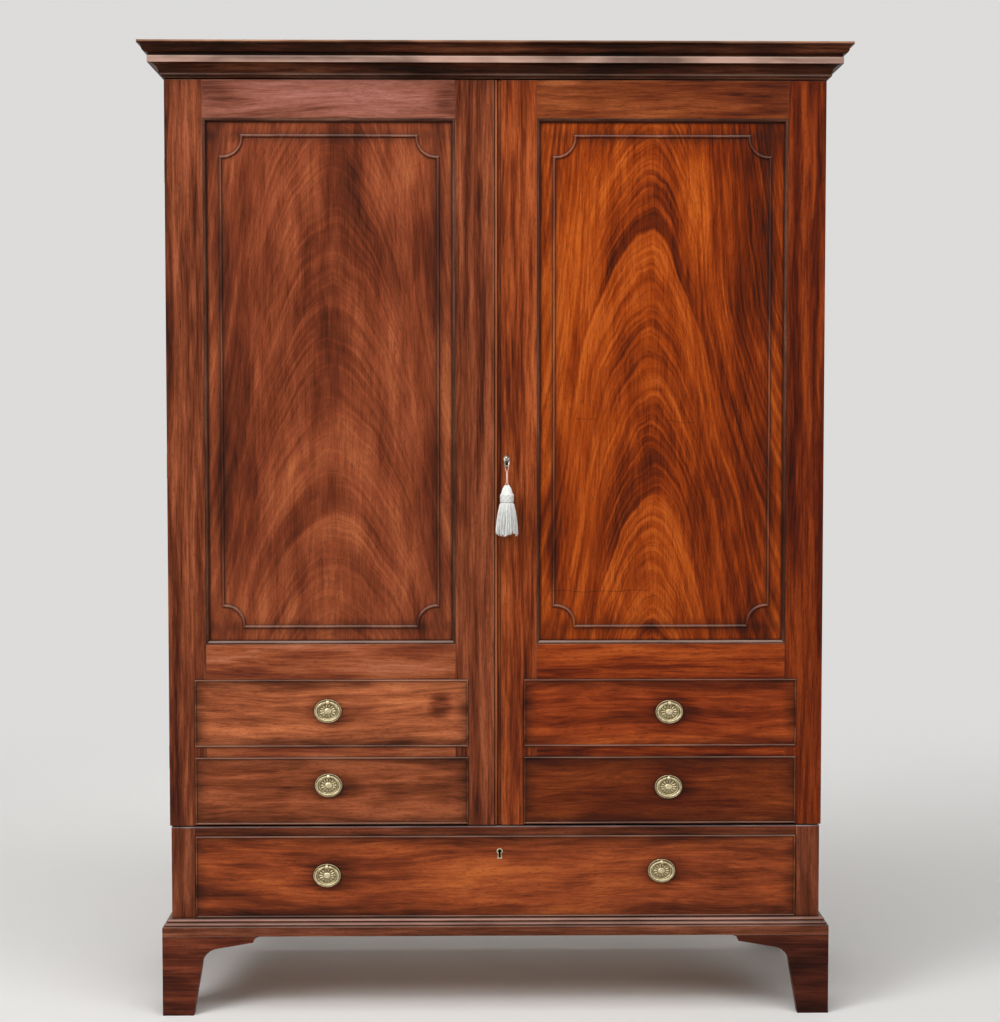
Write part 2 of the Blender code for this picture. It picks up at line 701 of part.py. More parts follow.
def hinge_leaf(side):
    """How far the leaf's two faces lie behind the axis: side 1 is the case, side -1 the door."""
    near = side * DOOR_GAP_BEHIND / 2
    return near, near + side * HINGE_LEAF_THICKNESS


def hinge_mortise(bm, sign, height, side):
    """Room for one hinge in the edge of the case or the back of the door."""
    near, far = hinge_leaf(side)
    reach = HINGE_OFFSET + HINGE_LEAF_REACH + GAP
    radius = HINGE_KNUCKLE_RADIUS + HINGE_NOTCH_GAP
    outline = hinge_outline(sign, radius, reach, near - side * GAP, far + side * GAP)
    half = HINGE_HEIGHT / 2 + GAP
    prism(bm, outline, along_z, height - half, height + half)


def make_hinges():
    """The knuckles of each butt hinge, with the leaf that is let into the case."""
    near, far = hinge_leaf(1)
    reach = HINGE_OFFSET + HINGE_LEAF_REACH
    half = HINGE_HEIGHT / 2
    for name, sign in SIDES:
        for label, height in HINGE_HEIGHTS.items():
            bm = bmesh.new()
            outline = hinge_outline(sign, HINGE_KNUCKLE_RADIUS, reach, near, far)
            prism(bm, outline, along_z, height - half, height + half)
            make_node(name + "_" + label + "_hinge", bm, "old_brass")


def stile_outline(inner, corner, edge):
    """A stile across X and Y: its front corner's points, then its back and the panel groove."""
    deep = inner + math.copysign(GROOVE_DEPTH, edge - inner)
    return ([(inner, FACE)] + corner
            + [(edge, DOOR_BACK), (inner, DOOR_BACK), (inner, GROOVE_BACK),
               (deep, GROOVE_BACK), (deep, GROOVE_FRONT), (inner, GROOVE_FRONT)])


def tongued_outline(inner, outer):
    """A rail or board across X and Y, with tongues for the stiles' grooves at its ends."""
    left, right = sorted((inner, outer))
    left, right = left + GAP, right - GAP
    tongue = GROOVE_DEPTH - 2 * GAP
    return [(left, FACE), (right, FACE), (right, PANEL_FRONT), (right + tongue, PANEL_FRONT),
            (right + tongue, PANEL_BACK), (right, PANEL_BACK), (right, DOOR_BACK),
            (left, DOOR_BACK), (left, PANEL_BACK), (left - tongue, PANEL_BACK),
            (left - tongue, PANEL_FRONT), (left, PANEL_FRONT)]


def dummy_edges(side):
    return sorted((side * DUMMY_INNER_EDGE, side * DUMMY_OUTER_EDGE))


def recess_tool(name, side, body):
    """The shallow recesses that hold the dummy fronts, across both stiles and the lower board."""
    bm = bmesh.new()
    left, right = dummy_edges(side)
    y = (FACE - DUMMY_THICKNESS, RECESS_BACK)
    box(bm, (left - GAP, right + GAP), y, (DOOR_BOTTOM - DUMMY_RISE, LOWER_DUMMY[1] + GAP))
    box(bm, (left - GAP, right + GAP), y, (UPPER_DUMMY[0] - GAP, UPPER_DUMMY[1] + GAP))
    return make_tool(name + "_dummy_recess", bm, body)


def panel_bead_path(left, right, low, high):
    """The panel bead's indented rectangle, clockwise from its lower left, as X and Z."""
    reach = CORNER_RADIUS + CORNER_SHOULDER
    inset = PANEL_BEAD_INSET
    corners = ((left + inset, low + inset, 1, 1), (left + inset, high - inset, 1, -1),
               (right - inset, high - inset, -1, -1), (right - inset, low + inset, -1, 1))
    path = []
    for i, (x, z, across, up) in enumerate(corners):
        turn = [(x + reach * across, z)]
        for u, v in arc((CORNER_SHOULDER, CORNER_SHOULDER), CORNER_RADIUS, 0, 90, CORNER_STEPS):
            turn.append((x + u * across, z + v * up))
        turn.append((x, z + reach * up))
        path += turn if i % 2 == 0 else turn[::-1]
    return path


def clockwise(left, right, low, high):
    return [(left, low), (left, high), (right, high), (right, low)]


def beaded_front(bm, edges, height, back):
    """A drawer front with a round cock bead at its edge and a fine quirk inside the bead."""
    radius = COCKBEAD_WIDTH / 2
    inside = COCKBEAD_WIDTH + BEAD_QUIRK_WIDTH
    levels = [(0.0, back)] + arc((radius, FACE - COCKBEAD_PROUD + radius), radius, 180, 360, 5)
    levels += [(COCKBEAD_WIDTH, FACE + BEAD_QUIRK_DEPTH), (inside, FACE + BEAD_QUIRK_DEPTH), (inside, FACE)]
    rings = []
    for inset, y in levels:
        outline = rectangle((edges[0] + inset, height[0] + inset), (edges[1] - inset, height[1] - inset))
        rings.append([along_y(u, v, y) for u, v in outline])
    skin(bm, rings)


def sticking_profile():
    """An ovolo between the frame's edge and the panel's face, as offset inwards and place along Y."""
    back = PANEL_FRONT - GAP
    shoulder = GAP + STICKING_FILLET
    width = STICKING_WIDTH - shoulder
    depth = back - STICKING_FILLET - (FACE + STICKING_DROP)
    ovolo = []
    for u, v in arc((0.0, 0.0), 1.0, 0, 90, 4):
        ovolo.append((shoulder + width * u, back - STICKING_FILLET - depth * v))
    return [(GAP, back), (STICKING_WIDTH, back)] + ovolo + [(GAP, FACE + STICKING_DROP)]


def panel_bead_profile():
    """A half round that is sunk a little into the panel, so that the two become one piece."""
    half = PANEL_BEAD_WIDTH / 2
    crest = [(half * u, PANEL_FRONT - PANEL_BEAD_HEIGHT * v) for u, v in arc((0.0, 0.0), 1.0, 0, 180, 4)]
    return [(half, PANEL_FRONT + 2 * GAP)] + crest + [(-half, PANEL_FRONT + 2 * GAP)]


def make_door(name, side):
    """Frame, panel, mouldings and dummy fronts of one door; returns its meeting stile."""
    body = name + "_door"
    recess = recess_tool(name, side, body)
    inner = side * STILE_INNER_EDGE
    outer = side * OPENING_OUTER

    bm = bmesh.new()
    edge = side * HALF
    prism(bm, stile_outline(outer, [(edge, FACE)], edge), along_z, DOOR_BOTTOM, DOOR_TOP)
    stile = make_node(name + "_outer_stile", bm, "mahogany", body)
    combine(stile, recess)
    bm = bmesh.new()
    for height in HINGE_HEIGHTS.values():
        hinge_mortise(bm, side, height, -1)
    combine(stile, make_tool(name + "_stile_mortises", bm, body))

    bm = bmesh.new()
    if side < 0:
        edge = MEETING_LINE
        middle = edge - EDGE_BEAD_RADIUS
        quirk = middle - EDGE_BEAD_RADIUS - EDGE_QUIRK
        corner = [(quirk, FACE), (quirk, FACE + EDGE_BEAD_RADIUS)]
        corner += arc((middle, FACE + EDGE_BEAD_RADIUS), EDGE_BEAD_RADIUS, 180, 360, 6)
    else:
        edge = RIGHT_EDGE
        lip = edge + MEETING_REBATE_WIDTH
        corner = [(lip, FACE), (lip, FACE + MEETING_REBATE_DEPTH), (edge, FACE + MEETING_REBATE_DEPTH)]
    prism(bm, stile_outline(inner, corner, edge), along_z, DOOR_BOTTOM, DOOR_TOP)
    meeting = make_node(name + "_meeting_stile", bm, "mahogany", body)
    combine(meeting, recess)

    outline = tongued_outline(inner, outer)
    x = (inner - side * 2 * GROOVE_DEPTH, outer + side * 2 * GROOVE_DEPTH)
    bm = bmesh.new()
    for face in (OPENING_TOP, OPENING_BOTTOM):
        box(bm, x, (GROOVE_FRONT, GROOVE_BACK), (face - GROOVE_DEPTH, face + GROOVE_DEPTH))
    grooves = make_tool(name + "_panel_grooves", bm, body)
    bm = bmesh.new()
    prism(bm, outline, along_z, OPENING_TOP, DOOR_TOP)
    combine(make_node(name + "_top_rail", bm, "mahogany", body), grooves)
    bm = bmesh.new()
    prism(bm, outline, along_z, DOOR_BOTTOM, OPENING_BOTTOM)
    board = make_node(name + "_lower_board", bm, "mahogany", body)
    combine(board, recess)
    combine(board, grooves)

    bm = bmesh.new()
    left, right = sorted((inner, outer))
    tongue = GROOVE_DEPTH - 2 * GAP
    box(bm, (left - tongue, right + tongue), (PANEL_FRONT, PANEL_BACK),
        (OPENING_BOTTOM - tongue, OPENING_TOP + tongue))
    panel = make_node(name + "_panel", bm, "figured_mahogany", body)
    bm = bmesh.new()
    path = panel_bead_path(left, right, OPENING_BOTTOM, OPENING_TOP)
    swept_loop(bm, path, panel_bead_profile(), along_y)
    combine(panel, make_tool(name + "_panel_bead", bm, body), "UNION")

    bm = bmesh.new()
    path = clockwise(left, right, OPENING_BOTTOM, OPENING_TOP)
    swept_loop(bm, path, sticking_profile(), along_y)
    make_node(name + "_panel_moulding", bm, "mahogany", body)

    for label, height in (("upper", UPPER_DUMMY), ("lower", LOWER_DUMMY)):
        bm = bmesh.new()
        beaded_front(bm, dummy_edges(side), height, FACE + DUMMY_THICKNESS)
        make_node(name + "_" + label + "_front", bm, "figured_mahogany", body)
    return meeting


def make_handle(name, body, x, z):
    """An oval plate with a raised rim, a dished field, a boss and an eye, and its swinging ring."""
    rim = PLATE_RIM_WIDTH
    inner_rim = rim - PLATE_RIM_BEVEL
    levels = ((0.0, 1.0, 0.0), (0.0, 1.0, PLATE_EDGE), (PLATE_RIM_BEVEL, 1.0, PLATE_RIM_HEIGHT),
              (inner_rim, 1.0, PLATE_RIM_HEIGHT), (rim, 1.0, PLATE_DISH_HEIGHT),
              (0.0, BOSS_FOOT, PLATE_DISH_HEIGHT), (0.0, BOSS_SHOULDER, BOSS_SHOULDER_HEIGHT),
              (0.0, BOSS_CROWN, BOSS_HEIGHT))
    back = FACE - GAP
    rings = []
    for inset, share, height in levels:
        half_width = (PLATE_HALF_WIDTH - inset) * share
        half_height = (PLATE_HALF_HEIGHT - inset) * share
        outline = ellipse((x, z), half_width, half_height, OVAL_STEPS)
        rings.append([along_y(u, v, back - height) for u, v in outline])
    bm = bmesh.new()
    skin(bm, rings)
    plate = make_node(name + "_handle_plate", bm, "old_brass", body)

    axis = (back - RING_OUT, z + RING_HALF_HEIGHT)
    root = back - PLATE_EYE_ROOT
    outer = []
    for y, v in circle(axis, EYE_HOLE_RADIUS + EYE_WALL, EYE_STEPS):
        outer.append((root if y > axis[0] + EYE_HOLE_RADIUS else y, v))
    inner = circle(axis, EYE_HOLE_RADIUS, EYE_STEPS)
    bm = bmesh.new()
    pipe(bm, outer, inner, along_x, x - EYE_LENGTH / 2, x + EYE_LENGTH / 2)
    combine(plate, make_tool(name + "_handle_eye", bm, body), "UNION")

    ring_body = name + "_ring"
    pivot(ring_body, (x, axis[0], axis[1]), body)
    bm = bmesh.new()
    path = ellipse((x, z), RING_HALF_WIDTH, RING_HALF_HEIGHT, OVAL_STEPS)
    swept_loop(bm, path, circle((0.0, axis[0]), RING_WIRE_RADIUS, WIRE_STEPS), along_y)
    make_node(name + "_ring_handle", bm, "old_brass", ring_body)


def make_handles():
    for name, side in SIDES:
        for label, height in (("upper", UPPER_DUMMY), ("lower", LOWER_DUMMY)):
            right, up = HANDLE_OFFSETS[name + "_" + label]
            middle = (height[0] + height[1]) / 2
            make_handle(name + "_" + label, name + "_door", side * DUMMY_MIDDLE + right, middle + up)
        right, up = HANDLE_OFFSETS["drawer_" + name]
        middle = (DRAWER_FRONT_LOW + DRAWER_FRONT_HIGH) / 2
        make_handle("drawer_" + name, "drawer", side * DUMMY_MIDDLE + right, middle + up)


def pierce_keyhole(node, name, x, z, depth, body):
    """Cut a keyhole, a round hole with a slot below that spreads to its foot."""
    outline = arc((x, z), KEYHOLE_RADIUS, -60, 240, 10)
    outline += [(x - KEYHOLE_FOOT, z - KEYHOLE_DROP), (x + KEYHOLE_FOOT, z - KEYHOLE_DROP)]
    bm = bmesh.new()
    prism(bm, outline, along_y, FACE - KEYHOLE_DROP, depth)
    combine(node, make_tool(name + "_keyhole", bm, body))


def make_door_lock(left_stile, right_stile):
    """A lock let into the back of the right meeting stile, whose bolt enters the left one."""
    body = "right_door"
    x = (RIGHT_EDGE + GAP, RIGHT_EDGE + LOCK_WIDTH)
    y = (DOOR_BACK - LOCK_DEPTH, DOOR_BACK)
    z = (KEY_Z - LOCK_BELOW, KEY_Z + LOCK_ABOVE)
    bm = bmesh.new()
    tray(bm, x, y, z, LOCK_WALL)
    lock = make_node("door_lock", bm, "old_brass", body)
    bm = bmesh.new()
    slot_x = (RIGHT_EDGE - LOCK_WALL, RIGHT_EDGE + 2 * LOCK_WALL)
    box(bm, slot_x, (BOLT_FRONT - GAP, LOCK_FLOOR), (BOLT_LOW - GAP, BOLT_HIGH + GAP))
    combine(lock, make_tool("lock_bolt_slot", bm, body))

    bm = bmesh.new()
    recess_y = (y[0] - GAP, DOOR_BACK + LOCK_WALL)
    box(bm, (RIGHT_EDGE - LOCK_WALL, x[1] + GAP), recess_y, (z[0] - GAP, z[1] + GAP))
    combine(right_stile, make_tool("door_lock_recess", bm, body))
    pierce_keyhole(right_stile, "door", KEY_X, KEY_Z, y[0], body)

    bm = bmesh.new()
    room = STRIKE_CLEARANCE
    box(bm, (MEETING_LINE - BOLT_THROW, MEETING_LINE + MEETING_GAP),
        (BOLT_FRONT - room, BOLT_BACK + room), (BOLT_LOW - room, BOLT_HIGH + room))
    combine(left_stile, make_tool("strike_pocket", bm, "left_door"))

    pivot("door_lock_bolt_slide", (KEY_X, BOLT_BACK, BOLT_HIGH), body)
    start = RIGHT_EDGE + BOLT_REST_SETBACK
    end = start + BOLT_LENGTH
    talon = BOLT_HIGH - TALON_DEPTH
    outline = [(start, BOLT_LOW), (end, BOLT_LOW), (end, BOLT_HIGH),
               (KEY_X + TALON_HALF_WIDTH, BOLT_HIGH), (KEY_X + TALON_HALF_WIDTH, talon),
               (KEY_X - TALON_HALF_WIDTH, talon), (KEY_X - TALON_HALF_WIDTH, BOLT_HIGH), (start, BOLT_HIGH)]
    bm = bmesh.new()
    prism(bm, outline, along_y, BOLT_FRONT, BOLT_BACK)
    make_node("door_lock_bolt", bm, "old_brass", "door_lock_bolt_slide")


def bow_place(u, v, w):
    """Across the bow, up and square to the bow, which is turned from the shank about an upright."""
    across = u * math.sin(KEY_BOW_TURN) + w * math.cos(KEY_BOW_TURN)
    inward = u * math.cos(KEY_BOW_TURN) - w * math.sin(KEY_BOW_TURN)
    return (KEY_X + across, BOW_Y + inward, v)


def make_key():
    """A key with a turned shank, a knob, an oval bow set askew and a plain bit, in the door's lock."""
    pivot("key_turn", (KEY_X, FACE, KEY_Z), "right_door")
    knob = BOW_Y + KEY_BOW_HALF_WIDTH * math.cos(KEY_BOW_TURN)
    profile = [(KEY_SHANK_RADIUS, LOCK_FLOOR - GAP)]
    for share, along in KEY_KNOB_SHAPE:
        profile.append((KEY_KNOB_RADIUS * share, knob + KEY_KNOB_RADIUS * along))
    bm = bmesh.new()
    turned(bm, profile, (KEY_X, KEY_Z), along_y, EYE_STEPS)
    key = make_node("door_key", bm, "steel", "key_turn")
    bm = bmesh.new()
    middle = KEY_Z - KEY_BOW_DROP
    path = ellipse((0.0, middle), KEY_BOW_HALF_WIDTH, KEY_BOW_HALF_HEIGHT, OVAL_STEPS)
    swept_loop(bm, path, circle((0.0, 0.0), KEY_BOW_WIRE, WIRE_STEPS), bow_place)
    combine(key, make_tool("key_bow", bm, "key_turn"), "UNION")
    bm = bmesh.new()
    half = KEY_BIT_THICKNESS / 2
    box(bm, (KEY_X - half, KEY_X + half), (BOLT_FRONT, BOLT_BACK), (KEY_Z - KEY_BIT_LENGTH, KEY_Z))
    combine(key, make_tool("key_bit", bm, "key_turn"), "UNION")


def smooth(points, steps):
    """Points along a smooth curve through the given ones."""
    points = [Vector(point) for point in points]
    curve = []
    for i, (start, end) in enumerate(zip(points, points[1:])):
        before = points[max(i - 1, 0)]
        after = points[min(i + 2, len(points) - 1)]
        bend = 2 * before - 5 * start + 4 * end - after
        twist = 3 * start - before - 3 * end + after
        for j in range(steps):
            t = j / steps
            curve.append(start + ((end - before) * t + bend * t ** 2 + twist * t ** 3) / 2)
    return curve + [points[-1]]


def make_cord():
    """The silk cord, a hairpin over the lower limb of the key's bow, down to the tassel."""
    pivot("tassel_hang", (KEY_X, BOW_Y, LIMB_Z), "key_turn")
    rise = [(-CORD_FOOT, -CORD_DROP + GAP), *CORD_STRAND]
    fall = [(-x, z) for x, z in reversed(rise)]
    route = smooth([*rise, CORD_CREST, *fall], CORD_SPAN_STEPS)
    curve = bpy.data.curves.new("key_cord", "CURVE")
    curve.dimensions = "3D"
    curve.bevel_depth = CORD_RADIUS
    curve.bevel_resolution = 2
    curve.use_fill_caps = True
    spline = curve.splines.new("POLY")
    spline.points.add(len(route) - 1)
    for slot, (x, z) in zip(spline.points, route):
        slot.co = (x, 0.0, z, 1.0)
    curve.materials.append(FINISHES["silk_cord"])
    carry(bpy.data.objects.new("key_cord", curve), "tassel_hang")


def make_tassel():
    """A bell-shaped head, a bound waist and a fluted skirt."""
    profile = [(CORD_FOOT + 2 * CORD_RADIUS, TASSEL_TOP, 0.0)]
    for share, drop in TASSEL_HEAD_SHAPE:
        profile.append((TASSEL_HEAD_RADIUS * share, TASSEL_TOP - TASSEL_HEAD_HEIGHT * drop, 0.0))
    waist = TASSEL_TOP - TASSEL_HEAD_HEIGHT
    for share, drop in TASSEL_SKIRT_SHAPE:
        profile.append((TASSEL_SKIRT_RADIUS * share, waist - TASSEL_SKIRT_LENGTH * drop, TASSEL_FLUTE))
    rings = []
    for radius, height, flute in profile:
        ring = []
        for i, (u, v) in enumerate(circle((0.0, 0.0), 1.0, OVAL_STEPS)):
            reach = radius - flute * (i % 2)
            ring.append((KEY_X + reach * u, BOW_Y + reach * v, height))
        rings.append(ring)
    bm = bmesh.new()
    skin(bm, rings)
    make_node("key_tassel", bm, "silk_tassel", "tassel_hang")


def tail_heights():
    """Middles of the dovetails on the drawer's sides."""
    step = DRAWER_SIDE_HEIGHT / TAIL_COUNT
    return [DRAWER_SIDE_LOW + step * (i + 0.5) for i in range(TAIL_COUNT)]


def tail_points(root, length, room):
    """One dovetail from its root along Y, as Y and height from its middle, grown by its clearance."""
    narrow = TAIL_ROOT / 2 + room
    wide = narrow + TAIL_FLARE / 2
    tip = root + length + math.copysign(room, length)
    base = root - math.copysign(room, length)
    return [(base, -narrow), (tip, -wide), (tip, wide), (base, narrow)]


def make_drawer():
    """A drawer with lapped dovetails in front, through dovetails behind and a grooved-in bottom."""
    body = "drawer"
    pivot(body, (0.0, FACE, DRAWER_SIDE_LOW))
    root_front = DRAWER_FRONT_BACK + GAP
    root_rear = DRAWER_REAR - DRAWER_SIDE_THICKNESS - GAP
    inner = DRAWER_HALF - DRAWER_SIDE_THICKNESS
    tails = ((root_front, -TAIL_LENGTH), (root_rear, DRAWER_SIDE_THICKNESS + GAP))

    bm = bmesh.new()
    height = (DRAWER_FRONT_LOW, DRAWER_FRONT_HIGH)
    beaded_front(bm, (-DRAWER_HALF, DRAWER_HALF), height, DRAWER_FRONT_BACK)
    front = make_node("drawer_front", bm, "figured_mahogany", body)

    bm = bmesh.new()
    for sign in (-1, 1):
        x = (sign * (inner - GAP), sign * (DRAWER_HALF + DRAWER_SIDE_THICKNESS))
        for z in tail_heights():
            for root, length in tails:
                prism(bm, [(y, z + v) for y, v in tail_points(root, length, GAP)], along_x, *x)
    sockets = make_tool("dovetail_sockets", bm, body)
    combine(front, sockets)

    floor = (DRAWER_FLOOR, DRAWER_FLOOR + DRAWER_BOTTOM_THICKNESS)
    reach = inner + DRAWER_GROOVE
    near = DRAWER_FRONT_BACK - DRAWER_GROOVE
    bm = bmesh.new()
    box(bm, (-reach, reach), (near, DRAWER_REAR + DRAWER_GROOVE), (floor[0] - GAP, floor[1] + GAP))
    groove = make_tool("drawer_bottom_groove", bm, body)
    combine(front, groove)
    pierce_keyhole(front, "drawer", DRAWER_KEY_OFFSET, DRAWER_KEY_Z, FACE + DRAWER_KEYHOLE_DEPTH, body)
    bm = bmesh.new()
    box(bm, (-reach + GAP, reach - GAP), (near + GAP, DRAWER_REAR), floor)
    make_node("drawer_bottom", bm, "oak_lining", body)

    bm = bmesh.new()
    back_y = (DRAWER_REAR - DRAWER_SIDE_THICKNESS, DRAWER_REAR)
    box(bm, (-DRAWER_HALF, DRAWER_HALF), back_y, (floor[1] + GAP, DRAWER_SIDE_HIGH))
    combine(make_node("drawer_back", bm, "oak_lining", body), sockets)

    outline = [(root_front, DRAWER_SIDE_LOW)]
    for z in tail_heights():
        outline += [(y, z + v) for y, v in tail_points(*tails[0], 0.0)]
    outline += [(root_front, DRAWER_SIDE_HIGH), (root_rear, DRAWER_SIDE_HIGH)]
    for z in reversed(tail_heights()):
        outline += [(y, z + v) for y, v in reversed(tail_points(*tails[1], 0.0))]
    outline.append((root_rear, DRAWER_SIDE_LOW))
    for name, sign in SIDES:
        bm = bmesh.new()
        prism(bm, outline, along_x, sign * inner, sign * DRAWER_HALF)
        combine(make_node("drawer_" + name + "_side", bm, "oak_lining", body), groove)


def main():
    for item in list(bpy.data.objects):
        bpy.data.objects.remove(item, do_unlink=True)
    make_finishes()
    for name, side in SIDES:
        pivot(name + "_door", (side * HINGE_X, HINGE_Y, DOOR_BOTTOM))
    make_upper_case()
    make_cornice()
    make_base()
    make_feet()
    make_hinges()
    stiles = [make_door(name, side) for name, side in SIDES]
    make_drawer()
    make_handles()
    make_door_lock(*stiles)
    make_key()
    make_cord()
    make_tassel()


main()
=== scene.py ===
"""Mahogany wardrobe: timber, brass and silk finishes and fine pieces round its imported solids."""
import math
import random

import bmesh
import bpy
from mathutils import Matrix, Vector


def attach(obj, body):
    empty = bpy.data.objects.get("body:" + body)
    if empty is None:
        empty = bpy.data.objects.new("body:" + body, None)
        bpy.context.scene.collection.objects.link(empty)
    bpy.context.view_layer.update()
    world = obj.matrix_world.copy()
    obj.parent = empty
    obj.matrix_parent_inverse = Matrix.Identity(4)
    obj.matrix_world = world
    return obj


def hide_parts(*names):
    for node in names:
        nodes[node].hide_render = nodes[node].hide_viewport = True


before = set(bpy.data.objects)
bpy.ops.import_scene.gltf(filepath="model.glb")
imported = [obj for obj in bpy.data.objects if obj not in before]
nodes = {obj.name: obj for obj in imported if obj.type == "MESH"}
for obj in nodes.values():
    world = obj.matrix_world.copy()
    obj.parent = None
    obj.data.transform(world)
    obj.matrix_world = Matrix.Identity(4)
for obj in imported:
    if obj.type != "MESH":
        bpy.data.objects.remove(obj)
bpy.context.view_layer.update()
scene = bpy.context.scene
scene.view_settings.view_transform = "Standard"
chance = random.Random(7)

# Sizes shared with the solids, in metres
FACE = -0.25675
PLATE_BACK = FACE - 0.0003
HINGE_X, HINGE_Y = 0.6882, -0.23125
HINGE_HEIGHTS = {"lower": 0.5414, "middle": 1.15715, "upper": 1.7729}
HINGE_HALF = 0.025
KNUCKLE_RADIUS = 0.0032
LEAF_REACH, LEAF_NEAR, LEAF_FAR = 0.0167, 0.0005, 0.0021
KEY_X, KEY_Z = 0.0222, 1.1729
BOW_Y = FACE - 0.025
BOW_HALF_WIDTH, BOW_HALF_HEIGHT, BOW_WIRE = 0.0105, 0.0127, 0.0018
BOW_Z = KEY_Z - 0.0046
BOW_TURN = math.radians(27)
LIMB_Z = BOW_Z - BOW_HALF_HEIGHT
KNOB_RADIUS, SHANK_RADIUS = 0.005, 0.0026
CORD_RADIUS = 0.00075
CORD_FOOT, CORD_DROP = 0.0028, 0.0367
CORD_STRAND = ((-0.0013, -0.0310), (-0.00095, -0.0250), (-0.00095, -0.0140),
               (-0.0016, -0.0075), (-0.0032, -0.0020), (-0.0026, 0.0023))
CORD_CREST = (0.0, 0.0037)
TASSEL_TOP = LIMB_Z - 0.037
TASSEL_WAIST = TASSEL_TOP - 0.0366
HEAD_RADIUS, SKIRT_RADIUS, SKIRT_LENGTH = 0.0132, 0.0225, 0.0634
DRAWER_KEY_X, DRAWER_KEY_Z = 0.0075, 0.3439
RING_OUT = 0.0069
RING_HALF_WIDTH, RING_HALF_HEIGHT, RING_WIRE = 0.0243, 0.0195, 0.0020
PLATE_HALF_WIDTH, PLATE_HALF_HEIGHT = 0.029, 0.025
EYE_HOLE, EYE_RADIUS, EYE_HALF_LENGTH = 0.0026, 0.0042, 0.0035
# The body that carries each handle, and its plate's middle across and up
HANDLES = {
    "left_upper": ("left_door", -0.354, 0.6427),
    "left_lower": ("left_door", -0.353, 0.4854),
    "right_upper": ("right_door", 0.365, 0.6397),
    "right_lower": ("right_door", 0.364, 0.4804),
    "drawer_left": ("drawer", -0.357, 0.2934),
    "drawer_right": ("drawer", 0.350, 0.3014),
}
# Edges of the beaded fronts: left, right, low and high
FRONTS = {
    "left_upper_front": (-0.633, -0.059, 0.5667, 0.7087),
    "left_lower_front": (-0.633, -0.059, 0.4024, 0.5444),
    "right_upper_front": (0.059, 0.633, 0.5667, 0.7087),
    "right_lower_front": (0.059, 0.633, 0.4024, 0.5444),
    "drawer_front": (-0.6335, 0.6335, 0.2039, 0.3769),
}
COCKBEAD = 0.0034
# How far dirt and painted shade darken a front in from its edges, and how much
FRONT_RIM = (0.036, 0.75)
# Stains round the handles: their offset to the right, half width, half height and darkness
STAIN_OFFSET = 0.01
STAIN = (0.075, 0.048, -0.30)


def linear(code):
    """An sRGB hex colour as linear red, green, blue and alpha."""
    parts = [int(code[i:i + 2], 16) / 255 for i in (1, 3, 5)]
    return [c / 12.92 if c <= 0.04045 else ((c + 0.055) / 1.055) ** 2.4 for c in parts] + [1.0]


def add(tree, kind, inputs=None, out=0, stops=None, **settings):
    """Add one shader node and give back one of its outputs.

    inputs maps a socket to a value or to another node's output; stops fill a colour ramp.
    """
    node = tree.nodes.new("ShaderNode" + kind)
    for key, value in settings.items():
        setattr(node, key, value)
    for key, value in (inputs or {}).items():
        if isinstance(value, bpy.types.NodeSocket):
            tree.links.new(value, node.inputs[key])
        else:
            node.inputs[key].default_value = value
    if stops:
        ramp = node.color_ramp.elements
        while len(ramp) < len(stops):
            ramp.new(0.5)
        for element, (position, colour) in zip(ramp, stops):
            element.position = position
            element.color = linear(colour) if isinstance(colour, str) else (colour, colour, colour, 1.0)
    return node.outputs[out]


def blank(name):
    """A material with only its Principled shader; gives the material, its tree and the shader."""
    material = bpy.data.materials.new(name)
    material.use_nodes = True
    tree = material.node_tree
    return material, tree, tree.nodes["Principled BSDF"]


def seen(tree):
    """One for the rays that show the background: from the camera, a mirror or a glass."""
    rays = add(tree, "LightPath").node.outputs
    shown = rays["Is Camera Ray"]
    for ray in ("Is Glossy Ray", "Is Transmission Ray"):
        shown = add(tree, "Math", {0: shown, 1: rays[ray]}, operation="MAXIMUM")
    return shown


# Camera at the photograph's viewpoint
CAMERA_PLACE = Vector((-0.0534, FACE - 4.0799, 1.2675))
CAMERA_YAW, CAMERA_PITCH = 0.01509, 0.0499
SENSOR, FOCAL_PIXELS, FRAME_PIXELS = 36, 1950, 1022
camera = bpy.data.objects.new("camera", bpy.data.cameras.new("camera"))
camera.data.lens = SENSOR * FOCAL_PIXELS / FRAME_PIXELS
camera.data.sensor_width = SENSOR
camera.location = CAMERA_PLACE
forward = Vector((math.sin(CAMERA_YAW) * math.cos(CAMERA_PITCH),
                  math.cos(CAMERA_YAW) * math.cos(CAMERA_PITCH), -math.sin(CAMERA_PITCH)))
camera.rotation_euler = forward.to_track_quat("-Z", "Y").to_euler()
scene.collection.objects.link(camera)
scene.camera = camera

# Sizes of mahogany's grain in metres: across it and along it
SWAY = (0.110, 0.45)
RIPPLE = (0.030, 0.14)
BROAD = (0.015, 0.28)
FINE = (0.0036, 0.075)
CLOUD = (0.055, 0.26)
LONG_CLOUD = (0.028, 0.60)
# Mahogany's pores are about 0.2 mm wide; they are drawn coarser so that they show
PORE = (0.0016, 0.012)
ARCH_LINE = (0.013, 0.20)
FLANK_LINE = (0.010, 0.30)
# Crotch figure: where the arches narrow and bow, their waver, a crown's roundness, and how they fade
NARROW_LOW, NARROW_HIGH = 1.1, 1.5
BOW_LOW, BOW_HIGH = 0.95, 1.45
WAVER = (0.07, 0.11)
CROWN_ROUND = 0.0003
FADE_NEAR, FADE_FAR, FADE_TONE = 0.07, 0.18, 0.47
# Where each of four shades of wood stands between the darkest and the lightest tone
SHADE_STOPS = (0.05, 0.35, 0.62, 0.95)
# Tones of a cloud between which wear sets in, and dirt with painted shade and dust with painted top light
# more softly
WEAR_LOW, WEAR_HIGH = 0.40, 0.60
SOFT_LOW, SOFT_HIGH = 0.35, 0.65
